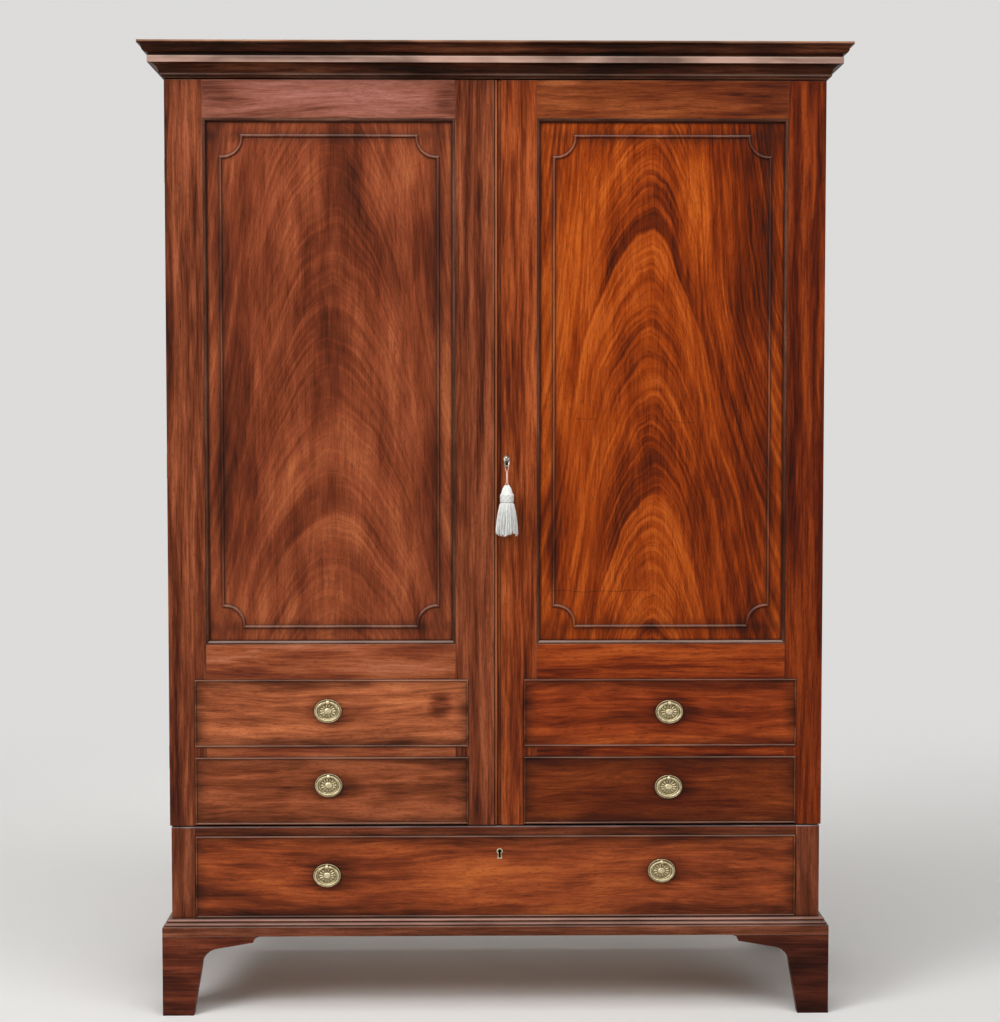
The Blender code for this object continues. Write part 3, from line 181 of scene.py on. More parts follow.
# Reach of dirt and painted shade in a crevice and of painted shade round it, radius of a worn arris, and
# half a crack's width
CREVICE, RECESS_SHADE_REACH = 0.006, 0.045
ARRIS = 0.0016
CRACK = 0.0008
# Height of the grain under the polish
GRAIN_RELIEF = 0.0006
# Colour of dirt and painted shade in crevices, recesses and cracks, and of dust and painted top light on
# upward faces
DIRT_AND_SHADE_COLOUR = "#140905"
DUST_AND_TOP_LIGHT = "#937E73"


def streaks(tree, place, along, size, shift, detail=3.0, out=0):
    """Random streaks that run with the grain, from their sizes across and along it."""
    scale = tuple(1 / (size[1] if axis in along else size[0]) for axis in "XYZ")
    place = add(tree, "Mapping", {0: place, 1: shift, 3: scale})
    return add(tree, "TexNoise", {"Vector": place, "Scale": 1.0, "Detail": detail, "Roughness": 0.6}, out)


def arch_figure(tree, place, arches, shift):
    """The nested arches of a crotch veneer: their tone and the fine lines that follow them.

    Each arch falls away from its crown as a parabola, wider high up than low down, and its flanks run
    into steep streaks.
    """
    parts = add(tree, "SeparateXYZ", {0: place}).node.outputs
    side = add(tree, "Math", {0: parts[0], 1: arches["middle"]}, operation="SUBTRACT")
    right = add(tree, "MapRange", {0: side, 1: -0.03, 2: 0.03})
    squeeze = add(tree, "MapRange", {0: parts[2], 1: NARROW_LOW, 2: NARROW_HIGH, 3: 0.0,
                                      4: arches["right_squeeze"]})
    squeeze = add(tree, "Math", {0: right, 1: squeeze, 2: 1.0}, operation="MULTIPLY_ADD")
    side = add(tree, "Math", {0: side, 1: squeeze}, operation="MULTIPLY")
    square = add(tree, "Math", {0: side, 1: side}, operation="MULTIPLY")
    bow = add(tree, "MapRange", {0: parts[2], 1: BOW_LOW, 2: BOW_HIGH, 3: arches["low_bow"],
                                  4: arches["high_bow"]})
    level = add(tree, "Math", {0: bow, 1: square, 2: parts[2]}, operation="MULTIPLY_ADD")
    tip = add(tree, "Math", {0: square, 1: CROWN_ROUND}, operation="ADD")
    tip = add(tree, "Math", {0: tip}, operation="SQRT")
    level = add(tree, "Math", {0: tip, 1: arches["tip"], 2: level}, operation="MULTIPLY_ADD")
    waver = streaks(tree, place, "Z", WAVER, shift, 2.0)
    waver = add(tree, "Math", {0: waver, 1: 0.5}, operation="SUBTRACT")
    level = add(tree, "Math", {0: waver, 1: arches["waver"], 2: level}, operation="MULTIPLY_ADD")
    low, high = arches["tones"][0][0], arches["tones"][-1][0]
    stops = [((height - low) / (high - low), tone) for height, tone in arches["tones"]]
    spot = add(tree, "MapRange", {0: level, 1: low, 2: high})
    tone = add(tree, "ValToRGB", {0: spot}, stops=stops)
    away = add(tree, "Math", {0: side}, operation="ABSOLUTE")
    fade = add(tree, "MapRange", {0: away, 1: FADE_NEAR, 2: FADE_FAR, 3: 0.0, 4: arches["fade"]})
    tone = add(tree, "Mix", {0: fade, 2: tone, 3: FADE_TONE})
    flow = add(tree, "CombineXYZ", {0: level, 1: parts[0], 2: parts[2]})
    crown = streaks(tree, flow, "YZ", ARCH_LINE, shift, 4.0)
    lean = add(tree, "Math", {0: parts[2], 1: 0.8, 2: -0.1}, operation="MULTIPLY_ADD")
    lean = add(tree, "Math", {0: side, 1: lean}, operation="MULTIPLY")
    flow = add(tree, "CombineXYZ", {0: lean, 1: shift[1], 2: parts[2]})
    flank = streaks(tree, flow, "Z", FLANK_LINE, shift, 4.0)
    near, far = arches["streaks"]
    streaked = add(tree, "MapRange", {0: away, 1: near, 2: far})
    lines = add(tree, "Mix", {0: streaked, 2: crown, 3: flank})
    lines = add(tree, "Math", {0: lines, 1: 0.5}, operation="SUBTRACT")
    crisp = add(tree, "MapRange", {0: away, 1: 0.0, 2: 0.09, 3: arches["crown"], 4: 1.0})
    lines = add(tree, "Math", {0: lines, 1: crisp, 2: 0.5}, operation="MULTIPLY_ADD")
    return tone, lines


def timber(name, along, shades, shift, sway=0.020, layers=(1.1, 0.8, 1.3), clouds=CLOUD, arches=None,
           gloss=0.32, shine=0.1, dirt_and_shade=0.8, corner=0.5, dust_and_top_light=0.6, wear=0.4, worn="#B98566",
           upright_beyond=None, bands=(), cracks=(), patches=(), edges=None):
    """Wood with streaked grain, pores, dirt and painted shade in its corners, upper faces paled by dust and
    painted top light, and rubbed arrises.

    shades run from the darkest line to the lightest, and layers weigh broad streaks, fine ones and clouds.
    bands tint strips between two places on an axis, cracks are dark lines across at a height, patches are
    lighter or darker ovals, and edges are the sides of a face that darkens towards them with dirt and
    painted shade.
    """
    material, tree, shader = blank(name)
    place = add(tree, "TexCoord", out=3)
    parts = add(tree, "SeparateXYZ", {0: place}).node.outputs
    grain = place
    if upright_beyond:
        turned = add(tree, "CombineXYZ", {0: parts[2], 1: parts[1], 2: parts[0]})
        outer = add(tree, "Math", {0: parts[0]}, operation="ABSOLUTE")
        outer = add(tree, "Math", {0: outer, 1: upright_beyond}, operation="GREATER_THAN")
        grain = add(tree, "Mix", {0: outer, 4: place, 5: turned}, out=1, data_type="VECTOR")
    for size, amount in ((SWAY, sway), (RIPPLE, sway / 4)):
        drift = streaks(tree, grain, along, size, shift, 1.0, out=1)
        grain = add(tree, "VectorMath", {0: drift, 1: (amount,) * 3, 2: grain}, operation="MULTIPLY_ADD")
    broad = streaks(tree, grain, along, BROAD, shift, 3.0)
    fine = streaks(tree, grain, along, FINE, shift, 2.0)
    cloud = streaks(tree, grain, along, clouds, shift, 3.0)
    pore = streaks(tree, grain, along, PORE, shift, 1.0)
    lines, tone = broad, 0.5
    if arches:
        tone, lines = arch_figure(tree, grain, arches, shift)
    for layer, share in zip((lines, fine, cloud), layers):
        tone = add(tree, "Math", {0: layer, 1: share, 2: tone}, operation="MULTIPLY_ADD")
    tone = add(tree, "Math", {0: tone, 1: sum(layers) / 2}, operation="SUBTRACT")
    for x, z, width, height, amount in patches:
        size = (1 / width, 0.0, 1 / height)
        centre = (-x / width, 0.0, -z / height)
        spot = add(tree, "VectorMath", {0: place, 1: size, 2: centre}, operation="MULTIPLY_ADD")
        spot = add(tree, "VectorMath", {0: spot}, out=1, operation="LENGTH")
        spot = add(tree, "MapRange", {0: spot, 1: 0.2, 2: 1.0, 3: amount, 4: 0.0},
                   interpolation_type="SMOOTHSTEP")
        tone = add(tree, "Math", {0: tone, 1: spot}, operation="ADD")
    colour = add(tree, "ValToRGB", {0: tone}, stops=list(zip(SHADE_STOPS, shades)))

    vein = add(tree, "Math", {0: lines, 1: 0.5}, operation="SUBTRACT")
    vein = add(tree, "Math", {0: vein}, operation="ABSOLUTE")
    vein = add(tree, "MapRange", {0: vein, 1: 0.0, 2: 0.014, 3: 0.30, 4: 0.0})
    pores = add(tree, "MapRange", {0: pore, 1: 0.56, 2: 0.70, 3: 0.0, 4: 0.45})
    marks = add(tree, "Math", {0: vein, 1: pores}, operation="MAXIMUM")
    colour = add(tree, "Mix", {0: marks, 6: colour, 7: linear(shades[0])}, out=2, data_type="RGBA")
    for axis, low, high, tint, share in bands:
        strip = add(tree, "Math", {0: parts["XYZ".index(axis)], 1: (low + high) / 2, 2: (high - low) / 2},
                    operation="COMPARE")
        patchy = add(tree, "MapRange", {0: cloud, 1: WEAR_LOW, 2: WEAR_HIGH, 3: 0.35 * share, 4: share})
        strip = add(tree, "Math", {0: strip, 1: patchy}, operation="MULTIPLY")
        colour = add(tree, "Mix", {0: strip, 6: colour, 7: linear(tint)}, out=2, data_type="RGBA")
    for start, end, height in cracks:
        bent = add(tree, "SeparateXYZ", {0: grain}).node.outputs
        line = add(tree, "Math", {0: bent[2], 1: height, 2: CRACK}, operation="COMPARE")
        reach = add(tree, "Math", {0: parts[0], 1: (start + end) / 2, 2: (end - start) / 2},
                    operation="COMPARE")
        line = add(tree, "Math", {0: line, 1: reach}, operation="MULTIPLY")
        line = add(tree, "Math", {0: line, 1: 0.5}, operation="MULTIPLY")
        colour = add(tree, "Mix", {0: line, 6: colour, 7: linear(DIRT_AND_SHADE_COLOUR)}, out=2, data_type="RGBA")

    # Ambient occlusion paints shade, with some dirt, into crevices, and a wider painted shade round recesses
    near = add(tree, "AmbientOcclusion", {"Distance": CREVICE}, out=1, samples=6)
    wide = add(tree, "AmbientOcclusion", {"Distance": RECESS_SHADE_REACH}, out=1, samples=6)
    dirt_and_shade_mask = add(tree, "MapRange", {0: near, 1: 0.97, 2: corner, 3: 0.0, 4: dirt_and_shade})
    recess_shade = add(tree, "MapRange", {0: wide, 1: 0.95, 2: 0.35, 3: 0.0, 4: dirt_and_shade * 0.5})
    dirt_and_shade_mask = add(tree, "Math", {0: dirt_and_shade_mask, 1: recess_shade}, operation="MAXIMUM")
    # Dirt and painted shade, darkening a face towards its edges
    if edges:
        left, right, low, high, reach, amount = edges
        rims = []
        for axis, start, end in ((0, left, right), (2, low, high)):
            away = add(tree, "Math", {0: parts[axis], 1: (start + end) / 2}, operation="SUBTRACT")
            away = add(tree, "Math", {0: away}, operation="ABSOLUTE")
            away = add(tree, "Math", {0: away, 1: (end - start) / 2}, operation="SUBTRACT")
            away = add(tree, "Math", {0: away}, operation="ABSOLUTE")
            rims.append(add(tree, "MapRange", {0: away, 1: reach, 2: 0.0}, interpolation_type="SMOOTHSTEP"))
        rim = add(tree, "Math", {0: rims[0], 1: rims[1]}, operation="MAXIMUM")
        patchy = add(tree, "MapRange", {0: cloud, 1: SOFT_LOW, 2: SOFT_HIGH, 3: amount, 4: amount * 0.35})
        rim = add(tree, "Math", {0: rim, 1: patchy}, operation="MULTIPLY")
        dirt_and_shade_mask = add(tree, "Math", {0: dirt_and_shade_mask, 1: rim}, operation="MAXIMUM")
    colour = add(tree, "Mix", {0: dirt_and_shade_mask, 6: colour, 7: linear(DIRT_AND_SHADE_COLOUR)}, out=2, data_type="RGBA")

    rounded = add(tree, "Bevel", {"Radius": ARRIS}, samples=4)
    flat = add(tree, "NewGeometry", out=1)
    arris = add(tree, "VectorMath", {0: rounded, 1: flat}, out=1, operation="DOT_PRODUCT")
    arris = add(tree, "MapRange", {0: arris, 1: 0.985, 2: 0.86})
    # Upward faces paled by dust and by painted top light
    upward = add(tree, "SeparateXYZ", {0: rounded}).node.outputs[2]
    upward = add(tree, "MapRange", {0: upward, 1: 0.20, 2: 0.75})
    dust_and_light_patchiness = add(tree, "MapRange", {0: cloud, 1: SOFT_LOW, 2: SOFT_HIGH, 3: 0.6 * dust_and_top_light, 4: dust_and_top_light})
    upward = add(tree, "Math", {0: upward, 1: dust_and_light_patchiness}, operation="MULTIPLY")
    colour = add(tree, "Mix", {0: upward, 6: colour, 7: linear(DUST_AND_TOP_LIGHT)}, out=2, data_type="RGBA")
    patch = add(tree, "MapRange", {0: cloud, 1: WEAR_LOW, 2: WEAR_HIGH, 3: 0.0, 4: wear})
    bare = add(tree, "MapRange", {0: near, 1: 0.80, 2: 0.95})
    rubbed = add(tree, "Math", {0: arris, 1: patch}, operation="MULTIPLY")
    rubbed = add(tree, "Math", {0: rubbed, 1: bare}, operation="MULTIPLY")
    colour = add(tree, "Mix", {0: rubbed, 6: colour, 7: linear(worn)}, out=2, data_type="RGBA")
    tree.links.new(colour, shader.inputs["Base Color"])

    rough = add(tree, "MapRange", {0: cloud, 1: 0.3, 2: 0.7, 3: gloss - 0.05, 4: gloss + 0.08})
    rough = add(tree, "Math", {0: dirt_and_shade_mask, 1: 0.25, 2: rough}, operation="MULTIPLY_ADD")
    tree.links.new(rough, shader.inputs["Roughness"])
    shader.inputs["Specular IOR Level"].default_value = shine
    relief = add(tree, "Math", {0: fine, 1: 0.4, 2: pore}, operation="MULTIPLY_ADD")
    bump = add(tree, "Bump", {"Strength": 0.10, "Distance": GRAIN_RELIEF, "Height": relief,
                              "Normal": rounded})
    tree.links.new(bump, shader.inputs["Normal"])
    return material


def strips(name, tint, share):
    """Pale bands along the four cock beads of a front: wear and painted highlight."""
    left, right, low, high = FRONTS[name]
    return (("X", left, left + COCKBEAD, tint, share), ("X", right - COCKBEAD, right, tint, share),
            ("Z", low, low + COCKBEAD, tint, share), ("Z", high - COCKBEAD, high, tint, share))


def front_edges(name):
    """The sides of a front, where dirt and painted shade darken it in the corners of its beads."""
    return (*FRONTS[name], *FRONT_RIM)


def stains(*names):
    """Dark patches left by hands and polish round the named handles."""
    return tuple((HANDLES[name][1] + STAIN_OFFSET, HANDLES[name][2], *STAIN) for name in names)


# Crotch figure of the panels: each arch's crown height and its tone, from the foot upwards
RIGHT_ARCHES = {
    "middle": 0.340, "tip": 0.62, "low_bow": 15.5, "high_bow": 7.6, "right_squeeze": 0.33, "waver": 0.045,
    "streaks": (0.07, 0.16), "fade": 0.75, "crown": 0.8,
    "tones": ((0.70, 0.55), (0.83, 0.50), (0.858, 0.42), (0.864, 0.72), (0.90, 0.60), (0.93, 0.46),
              (0.99, 0.42), (1.05, 0.46), (1.07, 0.60), (1.10, 0.66), (1.113, 0.74), (1.122, 0.34),
              (1.18, 0.40), (1.26, 0.46), (1.33, 0.55), (1.35, 0.66), (1.39, 0.62), (1.402, 0.44),
              (1.445, 0.58), (1.463, 0.40), (1.487, 0.42), (1.515, 0.46), (1.525, 0.62), (1.565, 0.60),
              (1.575, 0.48), (1.60, 0.66), (1.671, 0.76), (1.679, 0.22), (1.715, 0.34), (1.77, 0.52),
              (1.88, 0.78), (2.60, 0.50)),
}
RIGHT_PATCHES = ((0.345, 1.745, 0.045, 0.120, -0.24), (0.530, 1.30, 0.10, 0.75, -0.20),
                 (0.175, 1.48, 0.10, 0.36, 0.20), (0.425, 1.72, 0.035, 0.22, 0.22),
                 (0.17, 1.08, 0.06, 0.30, 0.14), (0.33, 0.93, 0.17, 0.17, 0.16),
                 (0.52, 1.83, 0.14, 0.10, -0.20), (0.340, 1.17, 0.13, 0.07, -0.08),
                 (0.300, 1.83, 0.20, 0.07, -0.16),
                 (0.59, 1.30, 0.025, 0.60, 0.14))
LEFT_ARCHES = {
    "middle": -0.330, "tip": 0.22, "low_bow": 7.0, "high_bow": 9.5, "right_squeeze": 0.10, "waver": 0.040,
    "streaks": (0.11, 0.22), "fade": 0.6, "crown": 0.35,
    "tones": ((0.70, 0.50), (0.84, 0.56), (0.95, 0.58), (0.985, 0.46), (1.02, 0.54), (1.055, 0.62),
              (1.072, 0.58), (1.088, 0.36), (1.11, 0.34), (1.15, 0.44), (1.175, 0.56), (1.22, 0.62),
              (1.265, 0.55), (1.31, 0.45), (1.40, 0.43), (1.50, 0.44), (1.515, 0.56), (1.535, 0.45),
              (1.595, 0.46), (1.607, 0.58), (1.635, 0.42), (1.75, 0.38), (1.85, 0.48), (1.95, 0.60),
              (2.05, 0.46), (2.60, 0.50)),
}
LEFT_PATCHES = ((-0.385, 1.75, 0.035, 0.13, 0.22), (-0.425, 1.60, 0.032, 0.14, 0.18),
                (-0.460, 1.45, 0.032, 0.14, 0.11), (-0.490, 1.30, 0.032, 0.16, 0.08),
                (-0.30, 1.74, 0.05, 0.10, -0.08), (-0.18, 1.79, 0.05, 0.08, 0.08),
                (-0.18, 1.60, 0.08, 0.16, -0.20), (-0.215, 1.33, 0.03, 0.12, 0.12),
                (-0.170, 1.20, 0.03, 0.14, 0.14), (-0.33, 1.10, 0.12, 0.22, 0.10),
                (-0.595, 1.33, 0.035, 0.65, 0.16), (-0.100, 1.33, 0.035, 0.65, 0.14),
                (-0.545, 1.30, 0.06, 0.50, -0.12), (-0.33, 1.80, 0.20, 0.09, -0.12))
# Sides of each panel's face, and how far and how much dirt and painted shade darken it towards them
RIGHT_FACE = (0.121, 0.5725, 0.8197, 1.8434, 0.024, 0.6)
LEFT_FACE = (-0.5725, -0.121, 0.8197, 1.8434, 0.024, 0.65)
# Painted shade darkens the panel bead's flanks and a painted highlight lightens its crest
PANEL_BEAD_SHADE_AND_HIGHLIGHT = (("Y", -0.2500, -0.2479, "#190B06", 0.9), ("Y", -0.2513, -0.2509, "#7A5B4D", 0.5))

# French-polished mahogany: red-brown with long dark streaks, open pores and a satin gloss
LEFT_UPRIGHT = ("#331309", "#5A2814", "#773B21", "#955032")
RIGHT_UPRIGHT = ("#250802", "#4B1604", "#672407", "#893910")
SIDE = ("#2A0F07", "#4A1C0E", "#66301A", "#7F4228")
LEFT_RAIL = ("#4A1F13", "#75371F", "#944F2E", "#AC684B")
RIGHT_RAIL = ("#381409", "#602810", "#80401E", "#9C552E")
RIGHT_MEETING = ("#3D1507", "#6A2A0F", "#8E421C", "#AC572C")
# Left top rail: red-brown shades greyed pink by a painted sheen of a reflected window
LEFT_TOP_RAIL_SHEEN = ("#542A1E", "#7E4938", "#945C4E", "#A87366")
RIGHT_LOW = ("#391106", "#6A250A", "#913D14", "#AA511F")
CORNICE = ("#110602", "#271107", "#401D0F", "#643620")
BASE = ("#2D1208", "#532511", "#6F3720", "#905234")
PLINTH = ("#32180E", "#5B2E1A", "#79432D", "#9C6147")
FOOT = ("#260E06", "#4B1E10", "#6E331E", "#8B4A2E")
# Darker copy of the foot's shades for the right-hand feet: painted shade
SHADED_FOOT = ("#180602", "#301006", "#4A1E10", "#602F1B")
MOULDING = ("#2A140D", "#46271B", "#5F3A2B", "#7C5442")
LEFT_UPPER = ("#512412", "#894729", "#B1633C", "#CE7B4D")
LEFT_LOWER = ("#3F1B0C", "#6C341A", "#904B2C", "#AB5F39")
RIGHT_UPPER = ("#411507", "#712A0D", "#943F18", "#B85A22")
RIGHT_LOWER = ("#300F04", "#521D08", "#6B2D0F", "#8A4119")
DRAWER = ("#411909", "#6E2F15", "#934520", "#B35E2C")
RIGHT_PANEL = ("#361003", "#682304", "#913A0B", "#B5571B")
LEFT_PANEL = ("#33150B", "#622A15", "#854125", "#A65C35")

UPRIGHT_LAYERS = (1.5, 1.0, 1.4)
upright_left = timber("french_polished_mahogany_upright_left", "Z", LEFT_UPRIGHT, (1.3, 0.2, 4.1),
                      layers=UPRIGHT_LAYERS, clouds=LONG_CLOUD,
                      patches=((-0.65, 0.60, 0.12, 0.45, -0.20), (-0.65, 1.5, 0.1, 0.5, -0.08)))
upright_right = timber("french_polished_mahogany_upright_right", "Z", RIGHT_UPRIGHT, (7.7, 2.9, 0.4),
                       layers=UPRIGHT_LAYERS, clouds=LONG_CLOUD,
                       patches=((0.65, 0.60, 0.12, 0.45, 0.30),))
meeting_left = timber("french_polished_mahogany_beaded_stile", "Z", LEFT_UPRIGHT, (4.6, 3.9, 7.2),
                      layers=UPRIGHT_LAYERS, clouds=LONG_CLOUD,
                      bands=(("X", -0.0030, 0.0030, "#A05A38", 0.7),))
meeting_right = timber("french_polished_mahogany_rebated_stile", "Z", RIGHT_MEETING, (2.4, 8.2, 5.7),
                       layers=UPRIGHT_LAYERS, clouds=LONG_CLOUD,
                       patches=((0.045, 0.55, 0.10, 0.35, -0.20),))
side_board = timber("french_polished_mahogany_side", "Z", SIDE, (3.1, 5.2, 8.8),
                    clouds=(0.045, 0.80))
left_rail = timber("french_polished_mahogany_left_rail", "X", LEFT_RAIL, (2.2, 9.4, 6.3), sway=0.03)
right_rail = timber("french_polished_mahogany_right_rail", "X", RIGHT_RAIL, (9.6, 1.4, 3.8), sway=0.03,
                    patches=((0.13, 1.952, 0.06, 0.010, 0.5), (0.58, 1.92, 0.10, 0.05, -0.2)))
# The left top rail's pinkish shades are a painted sheen of a reflected window; its darker ends and lower
# strip are where that sheen stops
left_top_rail_sheen = timber("french_polished_mahogany_left_top_rail_with_painted_sheen", "X", LEFT_TOP_RAIL_SHEEN, (3.4, 6.8, 0.7), sway=0.05,
                  layers=(0.8, 0.8, 1.0),
                  patches=((-0.60, 1.92, 0.10, 0.06, -0.35), (-0.09, 1.92, 0.06, 0.06, -0.3),
                           (-0.33, 1.890, 0.60, 0.035, -0.15)))
# The darker strip between the right dummy fronts is painted shade
right_low = timber("french_polished_mahogany_right_lower_board", "X", RIGHT_LOW, (1.7, 3.5, 9.2), sway=0.03,
                   patches=((0.3468, 0.5555, 0.60, 0.03, -0.2),))
level_board = timber("french_polished_mahogany_level_board", "X", SIDE, (5.9, 3.3, 1.2), dust_and_top_light=0.2)
# The cornice's bands paint highlights on the fascia, along its top and on the astragal below; the pale band
# at the top edge is wear
cornice_wood = timber(
    "dark_polished_mahogany_cornice", "XY", CORNICE, (4.4, 7.1, 2.6), wear=0.9, worn="#B08A72", gloss=0.34,
    shine=0.06, dust_and_top_light=0.3,
    bands=(("Z", 1.9885, 2.0019, "#BF9A8A", 0.9), ("Z", 1.9660, 1.9690, "#584A46", 0.6),
           ("Z", 2.0272, 2.0310, "#B4896C", 0.85), ("Z", 1.9990, 2.0019, "#D2B4A6", 0.5)),
    patches=((-0.05, 2.016, 0.32, 0.03, 0.32), (0.64, 2.016, 0.12, 0.03, 0.25),
             (-0.45, 1.975, 0.3, 0.02, 0.2), (0.25, 1.995, 0.10, 0.04, -0.3)))
# The pale bluish band along the top arris of the base rail is a painted highlight
base_wood = timber("french_polished_mahogany_base", "X", BASE, (8.2, 1.8, 5.5), wear=0.9, worn="#C59A7E",
                   upright_beyond=0.6351, bands=(("Z", 0.3950, 0.3976, "#8E8B92", 0.7),))
# The plinth's two pale bands are painted highlights on the upper fronts of its beads
plinth_wood = timber("french_polished_mahogany_plinth", "XY", PLINTH, (6.6, 4.9, 7.3), wear=0.8,
                     worn="#B98C72", dust_and_top_light=0.4,
                     bands=(("Z", 0.1990, 0.2020, "#B48E82", 0.8), ("Z", 0.1912, 0.1942, "#A27C70", 0.75)))
# The right-hand feet take a darker copy of the foot's shades: painted shade, with the light falling from the
# left
shaded_foot_wood = timber("dark_polished_mahogany_foot_in_painted_shade", "XY", SHADED_FOOT, (6.4, 2.1, 8.3), wear=0.8,
                       worn="#A87B5E")
foot_wood = timber("dark_polished_mahogany_foot", "XY", FOOT, (0.8, 6.1, 3.7), wear=0.8, worn="#A87B5E")
# The moulding's pale arrises and upper faces are wear and dust, and also painted highlight
moulding_wood = timber("dark_polished_mahogany_moulding", "XZ", MOULDING, (9.3, 0.6, 2.1), wear=0.9,
                       worn="#9A7B6C", dirt_and_shade=0.6, corner=0.25, dust_and_top_light=0.9)
# Mahogany crotch veneer, sliced thin and French polished: nested arches with steep streaked flanks
right_panel_wood = timber("figured_mahogany_right_panel", "Z", RIGHT_PANEL, (2.7, 3.8, 9.9), sway=0.024,
                          layers=(1.45, 0.6, 0.9), arches=RIGHT_ARCHES, gloss=0.28, patches=RIGHT_PATCHES,
                          edges=RIGHT_FACE, bands=PANEL_BEAD_SHADE_AND_HIGHLIGHT, corner=0.7,
                          cracks=((0.110, 0.324, 0.909), (0.169, 0.213, 1.268), (0.357, 0.418, 1.262)))
left_panel_wood = timber("figured_mahogany_left_panel", "Z", LEFT_PANEL, (6.1, 8.7, 1.9), sway=0.014,
                         layers=(0.9, 0.5, 1.1), arches=LEFT_ARCHES, gloss=0.30, patches=LEFT_PATCHES,
                         edges=LEFT_FACE, bands=PANEL_BEAD_SHADE_AND_HIGHLIGHT, corner=0.7)
# Figured mahogany fronts, French polished: cloudy level grain, beads paled by wear and painted highlight,
# and corners darkened by dirt and painted shade
FRONT_LAYERS = (0.9, 0.7, 1.3)
front_woods = {}
for front, shades, shift, tint, handles, spots in (
        ("left_upper_front", LEFT_UPPER, (1.1, 4.5, 6.7), "#A9735C", ("left_upper",),
         ((-0.282, 0.655, 0.045, 0.03, -0.2), (-0.118, 0.653, 0.035, 0.04, -0.35))),
        ("left_lower_front", LEFT_LOWER, (3.9, 0.7, 2.4), "#96614A", ("left_lower",), ()),
        ("right_upper_front", RIGHT_UPPER, (8.5, 6.6, 3.2), "#94583E", ("right_upper",), ()),
        ("right_lower_front", RIGHT_LOWER, (5.2, 9.1, 7.8), "#7F4C36", ("right_lower",), ()),
        ("drawer_front", DRAWER, (7.4, 2.2, 5.1), "#9A6650", ("drawer_left", "drawer_right"),
         ((0.0, 0.28, 0.28, 0.09, 0.16), (-0.53, 0.29, 0.20, 0.14, -0.08)))):
    front_woods[front] = timber(
        "figured_mahogany_" + front, "X", shades, shift, sway=0.05, layers=FRONT_LAYERS,
        bands=strips(front, tint, 0.55), patches=stains(*handles) + spots, edges=front_edges(front))
# Bare oak: pale, dry and open-pored drawer linings
OAK = ("#6F4E30", "#9A7349", "#B58C5E", "#CBA87C")
BARE_LAYERS = (1.4, 0.45, 0.5)
oak = timber("bare_oak_lining", "Y", OAK, (3.3, 1.7, 4.8), layers=BARE_LAYERS, gloss=0.62, dirt_and_shade=0.5,
             dust_and_top_light=0.1, wear=0.1)
oak_across = timber("bare_oak_back", "X", OAK, (2.3, 5.7, 0.8), layers=BARE_LAYERS, gloss=0.62, dirt_and_shade=0.5,
                    dust_and_top_light=0.1, wear=0.1)
# Bare pine: wide pale boards gone brown with age
PINE = ("#6A4426", "#946640", "#AF8056", "#C49A70")
pine = timber("bare_pine_board", "Z", PINE, (0.9, 2.9, 3.5), layers=BARE_LAYERS, gloss=0.66,
              dirt_and_shade=0.6, dust_and_top_light=0.1, wear=0.1)
pine_floor = timber("bare_pine_floor", "X", PINE, (4.9, 7.9, 1.5), sway=0.03, layers=BARE_LAYERS, gloss=0.66,
                    dirt_and_shade=0.6, dust_and_top_light=0.1, wear=0.1)


# Reach of the dark patina in small hollows of metal and of the painted shade in hollows of silk, and the
# height of their surface's grain
HOLLOW = 0.003
FINE_RELIEF = 0.0004
GROUND_FADE = 0.0006


def metal(name, bright, toned, recess, rough, grit, floor=None):
    """Metal toned by age: bright where it is rubbed, dark in its hollows, mottled all over.

    floor is the depth, towards the back, below which a stamped ground has gone dark.
    """
    material, tree, shader = blank(name)
    place = add(tree, "TexCoord", out=3)
    mottle = add(tree, "TexNoise", {"Vector": place, "Scale": 1 / grit, "Detail": 4.0})
    spread = add(tree, "MapRange", {0: mottle, 1: 0.38, 2: 0.66})
    colour = add(tree, "Mix", {0: spread, 6: linear(bright), 7: linear(toned)}, out=2, data_type="RGBA")
    near = add(tree, "AmbientOcclusion", {"Distance": HOLLOW}, out=1, samples=8)
    hollow = add(tree, "MapRange", {0: near, 1: 0.92, 2: 0.40, 3: 0.0, 4: 0.92})
    colour = add(tree, "Mix", {0: hollow, 6: colour, 7: linear(recess)}, out=2, data_type="RGBA")
    if floor:
        depth = add(tree, "SeparateXYZ", {0: place}).node.outputs[1]
        ground = add(tree, "MapRange", {0: depth, 1: floor - GROUND_FADE, 2: floor, 3: 0.0, 4: 0.7})
        colour = add(tree, "Mix", {0: ground, 6: colour, 7: linear(recess)}, out=2, data_type="RGBA")
    tree.links.new(colour, shader.inputs["Base Color"])
    shader.inputs["Metallic"].default_value = 1.0
    gloss = add(tree, "MapRange", {0: mottle, 1: 0.3, 2: 0.7, 3: rough - 0.06, 4: rough + 0.12})
    tree.links.new(gloss, shader.inputs["Roughness"])
    bump = add(tree, "Bump", {"Strength": 0.15, "Distance": FINE_RELIEF, "Height": mottle})
    tree.links.new(bump, shader.inputs["Normal"])
    return material


# Stamped brass with old lacquer: pale straw on the high points, brown in the hollows
brass = metal("stamped_brass_lacquered", "#CFC29F", "#A89A74", "#3A3018", 0.44, 0.006)
plate_brass = metal("stamped_brass_dark_ground", "#DBCDAA", "#B2A47E", "#54482A", 0.40, 0.006,
                    PLATE_BACK - 0.0008)
# Cast brass of hinges and locks: duller and browner
dull_brass = metal("cast_brass_toned", "#A58A55", "#705A33", "#1E160B", 0.45, 0.004)
# Wrought steel key, rubbed bright by the hand
key_steel = metal("wrought_steel_rubbed", "#B8B4A9", "#7D776B", "#1B1714", 0.30, 0.003)


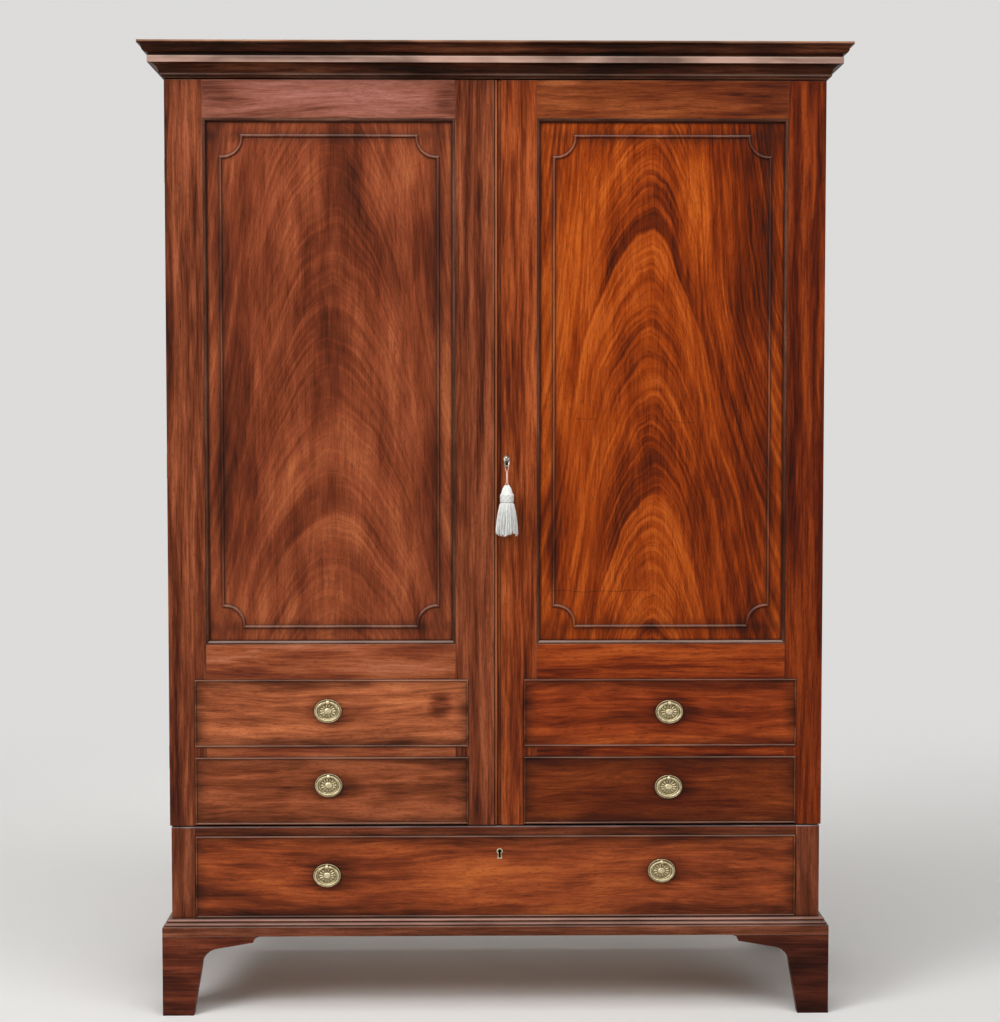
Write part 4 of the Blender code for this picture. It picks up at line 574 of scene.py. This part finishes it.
def silk(name, colours, thread):
    """Spun silk: soft sheen, fine threads, a little uneven yellowing and painted grey shade in its hollows.
    """
    material, tree, shader = blank(name)
    place = add(tree, "TexCoord", out=3)
    threads = streaks(tree, place, "Z", (thread, 12 * thread), (0.0, 0.0, 0.0))
    colour = add(tree, "ValToRGB", {0: threads}, stops=list(zip((0.30, 0.52, 0.72), colours)))
    # Painted grey shade between the threads
    near = add(tree, "AmbientOcclusion", {"Distance": HOLLOW}, out=1, samples=8)
    painted_thread_shade = add(tree, "MapRange", {0: near, 1: 0.8, 2: 0.2, 3: 0.0, 4: 0.6})
    colour = add(tree, "Mix", {0: painted_thread_shade, 6: colour, 7: linear("#55524E")}, out=2, data_type="RGBA")
    tree.links.new(colour, shader.inputs["Base Color"])
    shader.inputs["Roughness"].default_value = 0.55
    shader.inputs["Sheen Weight"].default_value = 0.2
    bump = add(tree, "Bump", {"Strength": 0.3, "Distance": FINE_RELIEF, "Height": threads})
    tree.links.new(bump, shader.inputs["Normal"])
    return material


# Spun silk of the tassel: off-white floss with a soft sheen and painted grey shade between its threads
tassel_silk = silk("spun_silk_tassel", ("#BFC0BC", "#E1E1DD", "#EEEEEB"), 0.0011)
# Twisted silk of the cord: faded pink, with the lay of its strands just showing
cord_silk = silk("twisted_silk_cord", ("#D2AE9C", "#E8CAB9", "#F3DED2"), 0.0008)


def place_piece(name, data, material, body, slot, *replaced):
    """Link a piece that rides on a body and stands for the given solids; slot is not used."""
    data.materials.append(material)
    piece = bpy.data.objects.new(name, data)
    scene.collection.objects.link(piece)
    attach(piece, body)
    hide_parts(*replaced)
    return piece


def mesh_of(name, bm):
    """A smooth-shaded mesh with its sharp edges kept."""
    bmesh.ops.recalc_face_normals(bm, faces=bm.faces)
    mesh = bpy.data.meshes.new(name)
    bm.to_mesh(mesh)
    bm.free()
    mesh.shade_smooth()
    mesh.set_sharp_from_angle(angle=math.radians(38))
    return mesh


def skin(bm, rings, closed=False):
    """Faces between rings of points; the ends are capped unless the rings close on themselves."""
    rings = [[bm.verts.new(point) for point in ring] for ring in rings]
    if not closed:
        bm.faces.new(rings[0])
        bm.faces.new(rings[-1])
    pairs = list(zip(rings, rings[1:]))
    if closed:
        pairs.append((rings[-1], rings[0]))
    for near, far in pairs:
        for i in range(len(near)):
            j = (i + 1) % len(near)
            bm.faces.new((near[i], near[j], far[j], far[i]))


def circle(radius, count):
    """Points round a circle about the origin."""
    return [(radius * math.cos(2 * math.pi * i / count), radius * math.sin(2 * math.pi * i / count))
            for i in range(count)]


def smooth(points, steps):
    """Points along a smooth curve through the given ones."""
    points = [Vector(point) for point in points]
    curve = []
    for i, (start, end) in enumerate(zip(points, points[1:])):
        before = points[max(i - 1, 0)]
        after = points[min(i + 2, len(points) - 1)]
        bend = 2 * before - 5 * start + 4 * end - after
        twist = 3 * start - before - 3 * end + after
        for j in range(steps):
            t = j / steps
            curve.append(start + ((end - before) * t + bend * t ** 2 + twist * t ** 3) / 2)
    return curve + [points[-1]]


def thread_curve(name, radius, routes, sides=2):
    """A round thread along each of the given routes."""
    curve = bpy.data.curves.new(name, "CURVE")
    curve.dimensions = "3D"
    curve.bevel_depth = radius
    curve.bevel_resolution = sides
    curve.use_fill_caps = True
    for route in routes:
        spline = curve.splines.new("POLY")
        spline.points.add(len(route) - 1)
        for point, place in zip(spline.points, route):
            point.co = (*place, 1.0)
    return curve


# Stamped plates: a rolled rim, a plain band, an oval border, petals round a boss
PETALS = 14
PLATE_STEPS = 8 * PETALS
# How much of a petal's round stands up, and how much of its height the lowest petals lose
PETAL_LOBE, PETAL_FALL = 0.65, 0.4
EYE_MOUTH, EYE_SWELL = 0.0033, 0.0046
# The eye's stem: heights above the plate's back and radii
STEM = ((0.0005, 0.0040), (0.0020, 0.0038), (0.0034, 0.0028))
# Share of the half size, height and height of the petals at that share
PLATE_LEVELS = ((1.0, 0.0, 0.0), (1.0, 0.0010, 0.0), (0.99, 0.0018, 0.0), (0.97, 0.0024, 0.0),
                (0.945, 0.0024, 0.0), (0.925, 0.0017, 0.0), (0.91, 0.0008, 0.0), (0.75, 0.0006, 0.0),
                (0.735, 0.0012, 0.0), (0.715, 0.0023, 0.0), (0.685, 0.0027, 0.0), (0.655, 0.0021, 0.0),
                (0.64, 0.0009, 0.0), (0.61, 0.0005, 0.0006), (0.58, 0.0005, 0.0018), (0.50, 0.0006, 0.0023),
                (0.40, 0.0007, 0.0022), (0.32, 0.0008, 0.0014), (0.295, 0.0010, 0.0005), (0.28, 0.0018, 0.0),
                (0.26, 0.0028, 0.0), (0.22, 0.0036, 0.0), (0.16, 0.0041, 0.0), (0.09, 0.0044, 0.0),
                (0.03, 0.0045, 0.0))


def make_plate(name, body, x, z):
    """One oval plate with its petals, and the eye that carries the ring."""
    bm = bmesh.new()
    rings = []
    for share, height, petal in PLATE_LEVELS:
        ring = []
        for i, (u, v) in enumerate(circle(share, PLATE_STEPS)):
            crest = max(0.0, math.cos(2 * math.pi * i * PETALS / PLATE_STEPS) + PETAL_LOBE)
            crest *= (1 - PETAL_FALL + PETAL_FALL * v / share) / (1 + PETAL_LOBE)
            front = PLATE_BACK - height - petal * crest
            ring.append((x + PLATE_HALF_WIDTH * u, front, z + PLATE_HALF_HEIGHT * v))
        rings.append(ring)
    skin(bm, rings)
    axis_y, axis_z = PLATE_BACK - RING_OUT, z + RING_HALF_HEIGHT
    half = EYE_HALF_LENGTH
    profile = ((-half, EYE_HOLE), (-half, EYE_MOUTH), (-0.8 * half, EYE_RADIUS), (-0.4 * half, EYE_SWELL),
               (0.4 * half, EYE_SWELL), (0.8 * half, EYE_RADIUS), (half, EYE_MOUTH), (half, EYE_HOLE))
    skin(bm, [[(x + along, axis_y + u, axis_z + v) for u, v in circle(radius, 20)]
              for along, radius in profile], closed=True)
    skin(bm, [[(x + u, PLATE_BACK - height, axis_z + v) for u, v in circle(radius, 20)]
              for height, radius in STEM])
    mesh = mesh_of(name + "_plate", bm)
    place_piece(name + "_plate", mesh, plate_brass, body, "old_brass", name + "_handle_plate")


def make_ring(name, x, z):
    """One oval ring of round wire, a little thicker at its foot."""
    bm = bmesh.new()
    rings = []
    for u, v in circle(1.0, 72):
        middle = Vector((x + RING_HALF_WIDTH * u, PLATE_BACK - RING_OUT, z + RING_HALF_HEIGHT * v))
        outward = Vector((RING_HALF_HEIGHT * u, 0.0, RING_HALF_WIDTH * v)).normalized()
        wire = RING_WIRE * (1.05 - 0.10 * v)
        rings.append([middle + outward * a + Vector((0.0, b, 0.0)) for a, b in circle(wire, 12)])
    skin(bm, rings, closed=True)
    mesh = mesh_of(name + "_pull", bm)
    place_piece(name + "_pull", mesh, brass, name + "_ring", "old_brass", name + "_ring_handle")


for handle, (carrier, handle_x, handle_z) in HANDLES.items():
    make_plate(handle, carrier, handle_x, handle_z)
    make_ring(handle, handle_x, handle_z)


# Keyhole threads, outside and inside: radius of the head, half the foot, and the foot's drop
THREAD_OUTSIDE = (0.0066, 0.0056, 0.0162)
THREAD_INSIDE = (0.0041, 0.0029, 0.0136)


def keyhole_outline(x, z, radius, foot, drop):
    """Points round a keyhole: a round head over a foot that widens downwards."""
    points = []
    for i in range(21):
        angle = math.radians(-60 + 15 * i)
        points.append((x + radius * math.cos(angle), z + radius * math.sin(angle)))
    waist = 0.55 * radius
    points += [(x - waist, z - 0.45 * drop), (x - foot, z - drop)]
    points += [(x + foot, z - drop), (x + waist, z - 0.45 * drop)]
    return points


def make_escutcheon(name, body, x, z):
    """The brass thread let in flush round a keyhole."""
    outer = keyhole_outline(x, z, *THREAD_OUTSIDE)
    inner = keyhole_outline(x, z, *THREAD_INSIDE)
    loops = ((outer, 0.0002), (outer, -0.0003), (inner, -0.0005), (inner, 0.0002))
    bm = bmesh.new()
    skin(bm, [[(u, FACE + y, v) for u, v in outline] for outline, y in loops], closed=True)
    place_piece(name, mesh_of(name, bm), brass, body, "old_brass")


make_escutcheon("drawer_escutcheon", "drawer", DRAWER_KEY_X, DRAWER_KEY_Z)
make_escutcheon("door_escutcheon", "right_door", KEY_X, KEY_Z)


KNUCKLES = 5
KNUCKLE_END, KNUCKLE_CHAMFER = 0.0024, 0.0004
# Screws of a leaf: their rise from its middle and their reach in from the pin
SCREWS = ((-0.017, 0.0100), (0.0, 0.0128), (0.017, 0.0100))
# A screw's head: radii and heights above the leaf
SCREW_HEAD = ((0.0026, -0.0002), (0.0026, 0.0001), (0.0022, 0.0002))


def leaf_box(bm, sign, near, far, height):
    """One flat leaf of a hinge, from near the pin inwards."""
    x = (sign * (HINGE_X - LEAF_REACH), sign * (HINGE_X - 0.5 * KNUCKLE_RADIUS))
    y = (HINGE_Y + near, HINGE_Y + far)
    corners = ((x[0], y[0]), (x[1], y[0]), (x[1], y[1]), (x[0], y[1]))
    skin(bm, [[(u, v, height + end) for u, v in corners] for end in (-HINGE_HALF, HINGE_HALF)])


def leaf_screws(bm, sign, face, outward, height):
    """Three screw heads on a leaf's open face."""
    for rise, reach in SCREWS:
        centre = (sign * (HINGE_X - reach), height + rise)
        skin(bm, [[(centre[0] + u, HINGE_Y + face + outward * out, centre[1] + v)
                   for u, v in circle(radius, 16)] for radius, out in SCREW_HEAD])


def make_hinge(side, sign, label, height):
    """One butt hinge: five knuckles and a leaf on the case, and a leaf on the door."""
    bm = bmesh.new()
    leaf_box(bm, sign, LEAF_NEAR, LEAF_FAR, height)
    leaf_screws(bm, sign, LEAF_NEAR, -1, height)
    knuckle = 2 * HINGE_HALF / KNUCKLES
    for i in range(KNUCKLES):
        low = height - HINGE_HALF + i * knuckle
        ends = ((KNUCKLE_END, 0.0), (KNUCKLE_RADIUS, KNUCKLE_CHAMFER),
                (KNUCKLE_RADIUS, knuckle - KNUCKLE_CHAMFER), (KNUCKLE_END, knuckle))
        skin(bm, [[(sign * HINGE_X + u, HINGE_Y + v, low + rise) for u, v in circle(radius, 20)]
                  for radius, rise in ends])
    name = side + "_" + label + "_hinge"
    place_piece(name + "_case_leaf", mesh_of(name, bm), dull_brass, "case", "old_brass", name)
    bm = bmesh.new()
    leaf_box(bm, sign, -LEAF_FAR, -LEAF_NEAR, height)
    leaf_screws(bm, sign, -LEAF_NEAR, 1, height)
    name += "_door_leaf"
    place_piece(name, mesh_of(name, bm), dull_brass, side + "_door", "old_brass")


for hinge_label, hinge_height in HINGE_HEIGHTS.items():
    make_hinge("left", -1, hinge_label, hinge_height)
    make_hinge("right", 1, hinge_label, hinge_height)

# Key: a turned shank with a knob, an oval bow set askew and a plain bit
KEY_TIP, BIT_START = FACE + 0.0227, FACE + 0.0177
BIT_HALF, BIT_LENGTH = 0.001, 0.009
KNOB_HALF_LENGTH, KNOB_STEPS = 0.003, 8
bm = bmesh.new()
knob_y = BOW_Y + BOW_HALF_WIDTH * math.cos(BOW_TURN)
shank = [(SHANK_RADIUS, KEY_TIP), (SHANK_RADIUS, knob_y + KNOB_HALF_LENGTH)]
for step in range(KNOB_STEPS + 1):
    angle = math.pi * (0.15 + 0.75 * step / KNOB_STEPS)
    shank.append((KNOB_RADIUS * math.sin(angle), knob_y + KNOB_HALF_LENGTH * math.cos(angle)))
skin(bm, [[(KEY_X + u, y, KEY_Z + v) for u, v in circle(radius, 24)] for radius, y in shank])
bow = []
for u, v in circle(1.0, 56):
    out = Vector((BOW_HALF_HEIGHT * u, BOW_HALF_WIDTH * v)).normalized()
    ring = []
    for a, b in circle(BOW_WIRE, 12):
        flat = BOW_HALF_WIDTH * u + a * out.x
        across = flat * math.sin(BOW_TURN) + b * math.cos(BOW_TURN)
        inward = flat * math.cos(BOW_TURN) - b * math.sin(BOW_TURN)
        ring.append((KEY_X + across, BOW_Y + inward, BOW_Z + BOW_HALF_HEIGHT * v + a * out.y))
    bow.append(ring)
skin(bm, bow, closed=True)
bit = ((-BIT_HALF, BIT_START), (BIT_HALF, BIT_START), (BIT_HALF, KEY_TIP), (-BIT_HALF, KEY_TIP))
skin(bm, [[(KEY_X + u, y, KEY_Z - drop) for u, y in bit] for drop in (BIT_LENGTH, 0.0)])
place_piece("turned_key", mesh_of("turned_key", bm), key_steel, "key", "key_steel", "door_key")

# Tassel head: a bell of thread laid over a mould
RIBS, RIB_RELIEF = 44, 0.0002
# Shares of the head's radius and of its height, from the crown down
HEAD_SHAPE = ((0.33, 0.0), (0.45, 0.05), (0.57, 0.13), (0.68, 0.21), (0.77, 0.30), (0.84, 0.39),
              (0.88, 0.46), (0.97, 0.50), (1.0, 0.60), (1.0, 0.78), (0.99, 0.90), (0.95, 0.97),
              (0.90, 1.0), (0.86, 1.03))
HEAD_DROP = TASSEL_TOP - TASSEL_WAIST
bm = bmesh.new()
head = []
for share, drop in HEAD_SHAPE:
    ring = []
    for i, (u, v) in enumerate(circle(1.0, 2 * RIBS)):
        radius = HEAD_RADIUS * share + (RIB_RELIEF if i % 2 else -RIB_RELIEF)
        ring.append((KEY_X + radius * u, BOW_Y + radius * v, TASSEL_TOP - HEAD_DROP * drop))
    head.append(ring)
skin(bm, head)
tassel_head = place_piece("tassel_head", mesh_of("tassel_head", bm), tassel_silk, "tassel", "silk_tassel",
                          "key_tassel")

# Net of fine knotted thread round the lower half of the head
NET_THREADS, NET_STEPS, NET_TURN = 9, 10, 1.2
NET_START, NET_SPAN = 0.52, 0.42
NET_RADIUS, NET_THREAD = HEAD_RADIUS + 0.0003, 0.0010
net = []
for lean in (-NET_TURN, NET_TURN):
    for i in range(NET_THREADS):
        route = []
        for step in range(NET_STEPS + 1):
            share = step / NET_STEPS
            angle = 2 * math.pi * i / NET_THREADS + lean * share
            fall = TASSEL_TOP - HEAD_DROP * (NET_START + NET_SPAN * share)
            route.append((KEY_X + math.cos(angle) * NET_RADIUS, BOW_Y + math.sin(angle) * NET_RADIUS, fall))
        net.append(route)
place_piece("tassel_net", thread_curve("tassel_net", NET_THREAD, net, 2), tassel_silk, "tassel",
            "silk_tassel", "key_tassel")

# Tassel skirt: threads about 0.3 mm thick in life, drawn thicker and fewer so that they show
SKIRT_SHAPE = ((0.56, 0.0), (0.66, 0.05), (0.80, 0.30), (0.93, 0.62), (0.985, 0.85), (1.0, 1.0))
# Share of the skirt's radius at each layer, and its count of threads
SKIRT_LAYERS = ((1.0, 96), (0.93, 84), (0.84, 64))
SKIRT_THREAD = 0.00055
CORE_WIDTH, CORE_LENGTH = 0.80, 0.92
routes = []
for layer, count in SKIRT_LAYERS:
    for i in range(count):
        turn = 2 * math.pi * (i + chance.uniform(-0.35, 0.35)) / count
        length = chance.uniform(0.93, 1.06) * (1.0 + 0.05 * math.sin(3 * turn + 1.0))
        splay = chance.uniform(-0.03, 0.03)
        wander = chance.uniform(-0.10, 0.10)
        route = []
        for share, drop in SKIRT_SHAPE:
            radius = SKIRT_RADIUS * layer * share * (1.0 + splay * drop)
            angle = turn + wander * drop + 0.02 * math.sin(9 * drop + i)
            fall = TASSEL_WAIST - SKIRT_LENGTH * drop * length
            route.append((KEY_X + radius * math.cos(angle), BOW_Y + radius * math.sin(angle), fall))
        routes.append(route)
skirt_curve = thread_curve("tassel_skirt", SKIRT_THREAD, routes, 1)
place_piece("tassel_skirt", skirt_curve, tassel_silk, "tassel", "silk_tassel", "key_tassel")
bm = bmesh.new()
skin(bm, [[(KEY_X + CORE_WIDTH * SKIRT_RADIUS * share * u, BOW_Y + CORE_WIDTH * SKIRT_RADIUS * share * v,
            TASSEL_WAIST - CORE_LENGTH * SKIRT_LENGTH * drop) for u, v in circle(1.0, 32)]
          for share, drop in SKIRT_SHAPE])
place_piece("tassel_core", mesh_of("tassel_core", bm), tassel_silk, "tassel", "silk_tassel", "key_tassel")

# Silk cord: a hairpin over the lower limb of the key's bow
CORD_STEPS = 6
rise = [(-CORD_FOOT, -CORD_DROP), *CORD_STRAND]
hairpin = smooth([*rise, CORD_CREST, *[(-x, z) for x, z in reversed(rise)]], CORD_STEPS)
cord_route = [(KEY_X + x, BOW_Y, LIMB_Z + z) for x, z in hairpin]
cord = place_piece("silk_cord", thread_curve("silk_cord", CORD_RADIUS, [cord_route], 3), cord_silk, "tassel",
                   "silk_cord", "key_cord")

# Finishes of the solids
FINISHES = {
    "left_side": side_board, "right_side": side_board, "case_top": level_board, "case_bottom": level_board,
    "back_boards": pine, "base_bottom": pine_floor, "hanging_rail": dull_brass, "cornice": cornice_wood,
    "base_left_side": side_board, "base_right_side": side_board, "base_face_frame": base_wood,
    "plinth_moulding": plinth_wood, "front_left_foot": foot_wood, "front_right_foot": shaded_foot_wood,
    "rear_left_foot": foot_wood, "rear_right_foot": shaded_foot_wood,
    "left_outer_stile": upright_left, "left_meeting_stile": meeting_left,
    "right_outer_stile": upright_right, "right_meeting_stile": meeting_right,
    "left_top_rail": left_top_rail_sheen, "right_top_rail": right_rail,
    "left_lower_board": left_rail, "right_lower_board": right_low,
    "left_panel": left_panel_wood, "right_panel": right_panel_wood,
    "left_panel_moulding": moulding_wood, "right_panel_moulding": moulding_wood,
    "drawer_left_side": oak, "drawer_right_side": oak, "drawer_back": oak_across, "drawer_bottom": oak,
    "door_lock": dull_brass, "door_lock_bolt": dull_brass, "door_key": key_steel, "key_tassel": tassel_silk,
}
FINISHES.update(front_woods)
for node_name in nodes:
    if node_name.endswith(("_ring_handle", "_handle_plate")):
        FINISHES[node_name] = brass
    elif node_name.endswith("_hinge"):
        FINISHES[node_name] = dull_brass
for node_name, finish in FINISHES.items():
    nodes[node_name].data.materials.clear()
    nodes[node_name].data.materials.append(finish)

# Painted studio floor that rises into a backdrop: matt and pale, and evenly so away from the object
BACKDROP = "#E7E6E5"
BACKDROP_LIGHT, ROOM_LIGHT = 0.9, 0.14
EVEN_FROM, EVEN_TO = 1.6, 4.2
SWEEP_START, SWEEP, SWEEP_STEPS = 3.2, 1.8, 12
FLOOR_REACH, FLOOR_HALF_WIDTH = 9.0, 12.0
floor_material, floor_tree, floor_shader = blank("painted_studio_floor")
dapple = add(floor_tree, "TexNoise", {"Scale": 2.0, "Detail": 3.0})
shade = add(floor_tree, "ValToRGB", {0: dapple}, stops=((0.3, "#E6E5E3"), (0.7, "#EBEAE8")))
floor_tree.links.new(shade, floor_shader.inputs["Base Color"])
floor_shader.inputs["Roughness"].default_value = 0.8
reach = add(floor_tree, "TexCoord", out=3)
reach = add(floor_tree, "VectorMath", {0: reach}, out=1, operation="LENGTH")
reach = add(floor_tree, "MapRange", {0: reach, 1: EVEN_FROM, 2: EVEN_TO}, interpolation_type="SMOOTHSTEP")
reach = add(floor_tree, "Math", {0: reach, 1: seen(floor_tree)}, operation="MULTIPLY")
even = add(floor_tree, "Emission", {"Color": linear(BACKDROP), "Strength": BACKDROP_LIGHT})
even = add(floor_tree, "MixShader", {0: reach, 1: floor_shader.outputs[0], 2: even})
floor_tree.links.new(even, floor_tree.nodes["Material Output"].inputs["Surface"])
profile = [(-FLOOR_REACH, 0.0)]
for step in range(SWEEP_STEPS + 1):
    angle = math.pi * step / (2 * SWEEP_STEPS)
    profile.append((SWEEP_START + SWEEP * math.sin(angle), SWEEP * (1 - math.cos(angle))))
profile.append((SWEEP_START + SWEEP, FLOOR_REACH))
bm = bmesh.new()
rows = [[bm.verts.new((x, y, z)) for x in (-FLOOR_HALF_WIDTH, FLOOR_HALF_WIDTH)] for y, z in profile]
for near_row, far_row in zip(rows, rows[1:]):
    bm.faces.new((near_row[0], near_row[1], far_row[1], far_row[0]))
floor_mesh = bpy.data.meshes.new("studio_floor")
bm.to_mesh(floor_mesh)
bm.free()
floor_mesh.shade_smooth()
floor_mesh.materials.append(floor_material)
floor = bpy.data.objects.new("studio_floor", floor_mesh)
scene.collection.objects.link(floor)

# Soft studio light, strongest from the upper left: name, place, aim, size in metres and power in watts
LAMPS = (("key", (-3.0, -3.2, 3.4), (0.0, -0.2, 1.1), 2.0, 136),
         ("fill", (3.2, -3.0, 2.4), (0.0, -0.2, 1.0), 2.2, 44),
         ("top", (0.0, -2.2, 4.6), (0.0, -0.7, 0.6), 3.0, 125),
         ("backdrop", (0.0, 1.9, 3.6), (0.0, 5.0, 1.6), 2.5, 80))
for lamp_name, spot, aim, size, power in LAMPS:
    light = bpy.data.lights.new(lamp_name, "AREA")
    light.energy = power
    light.size = size
    lamp = bpy.data.objects.new(lamp_name, light)
    lamp.location = spot
    lamp.rotation_euler = (Vector(aim) - Vector(spot)).to_track_quat("-Z", "Y").to_euler()
    scene.collection.objects.link(lamp)
world = bpy.data.worlds.new("studio")
world.use_nodes = True
background = world.node_tree.nodes["Background"]
background.inputs["Color"].default_value = linear(BACKDROP)
strength = add(world.node_tree, "MapRange", {0: seen(world.node_tree), 3: ROOM_LIGHT, 4: BACKDROP_LIGHT})
world.node_tree.links.new(strength, background.inputs["Strength"])
scene.world = world
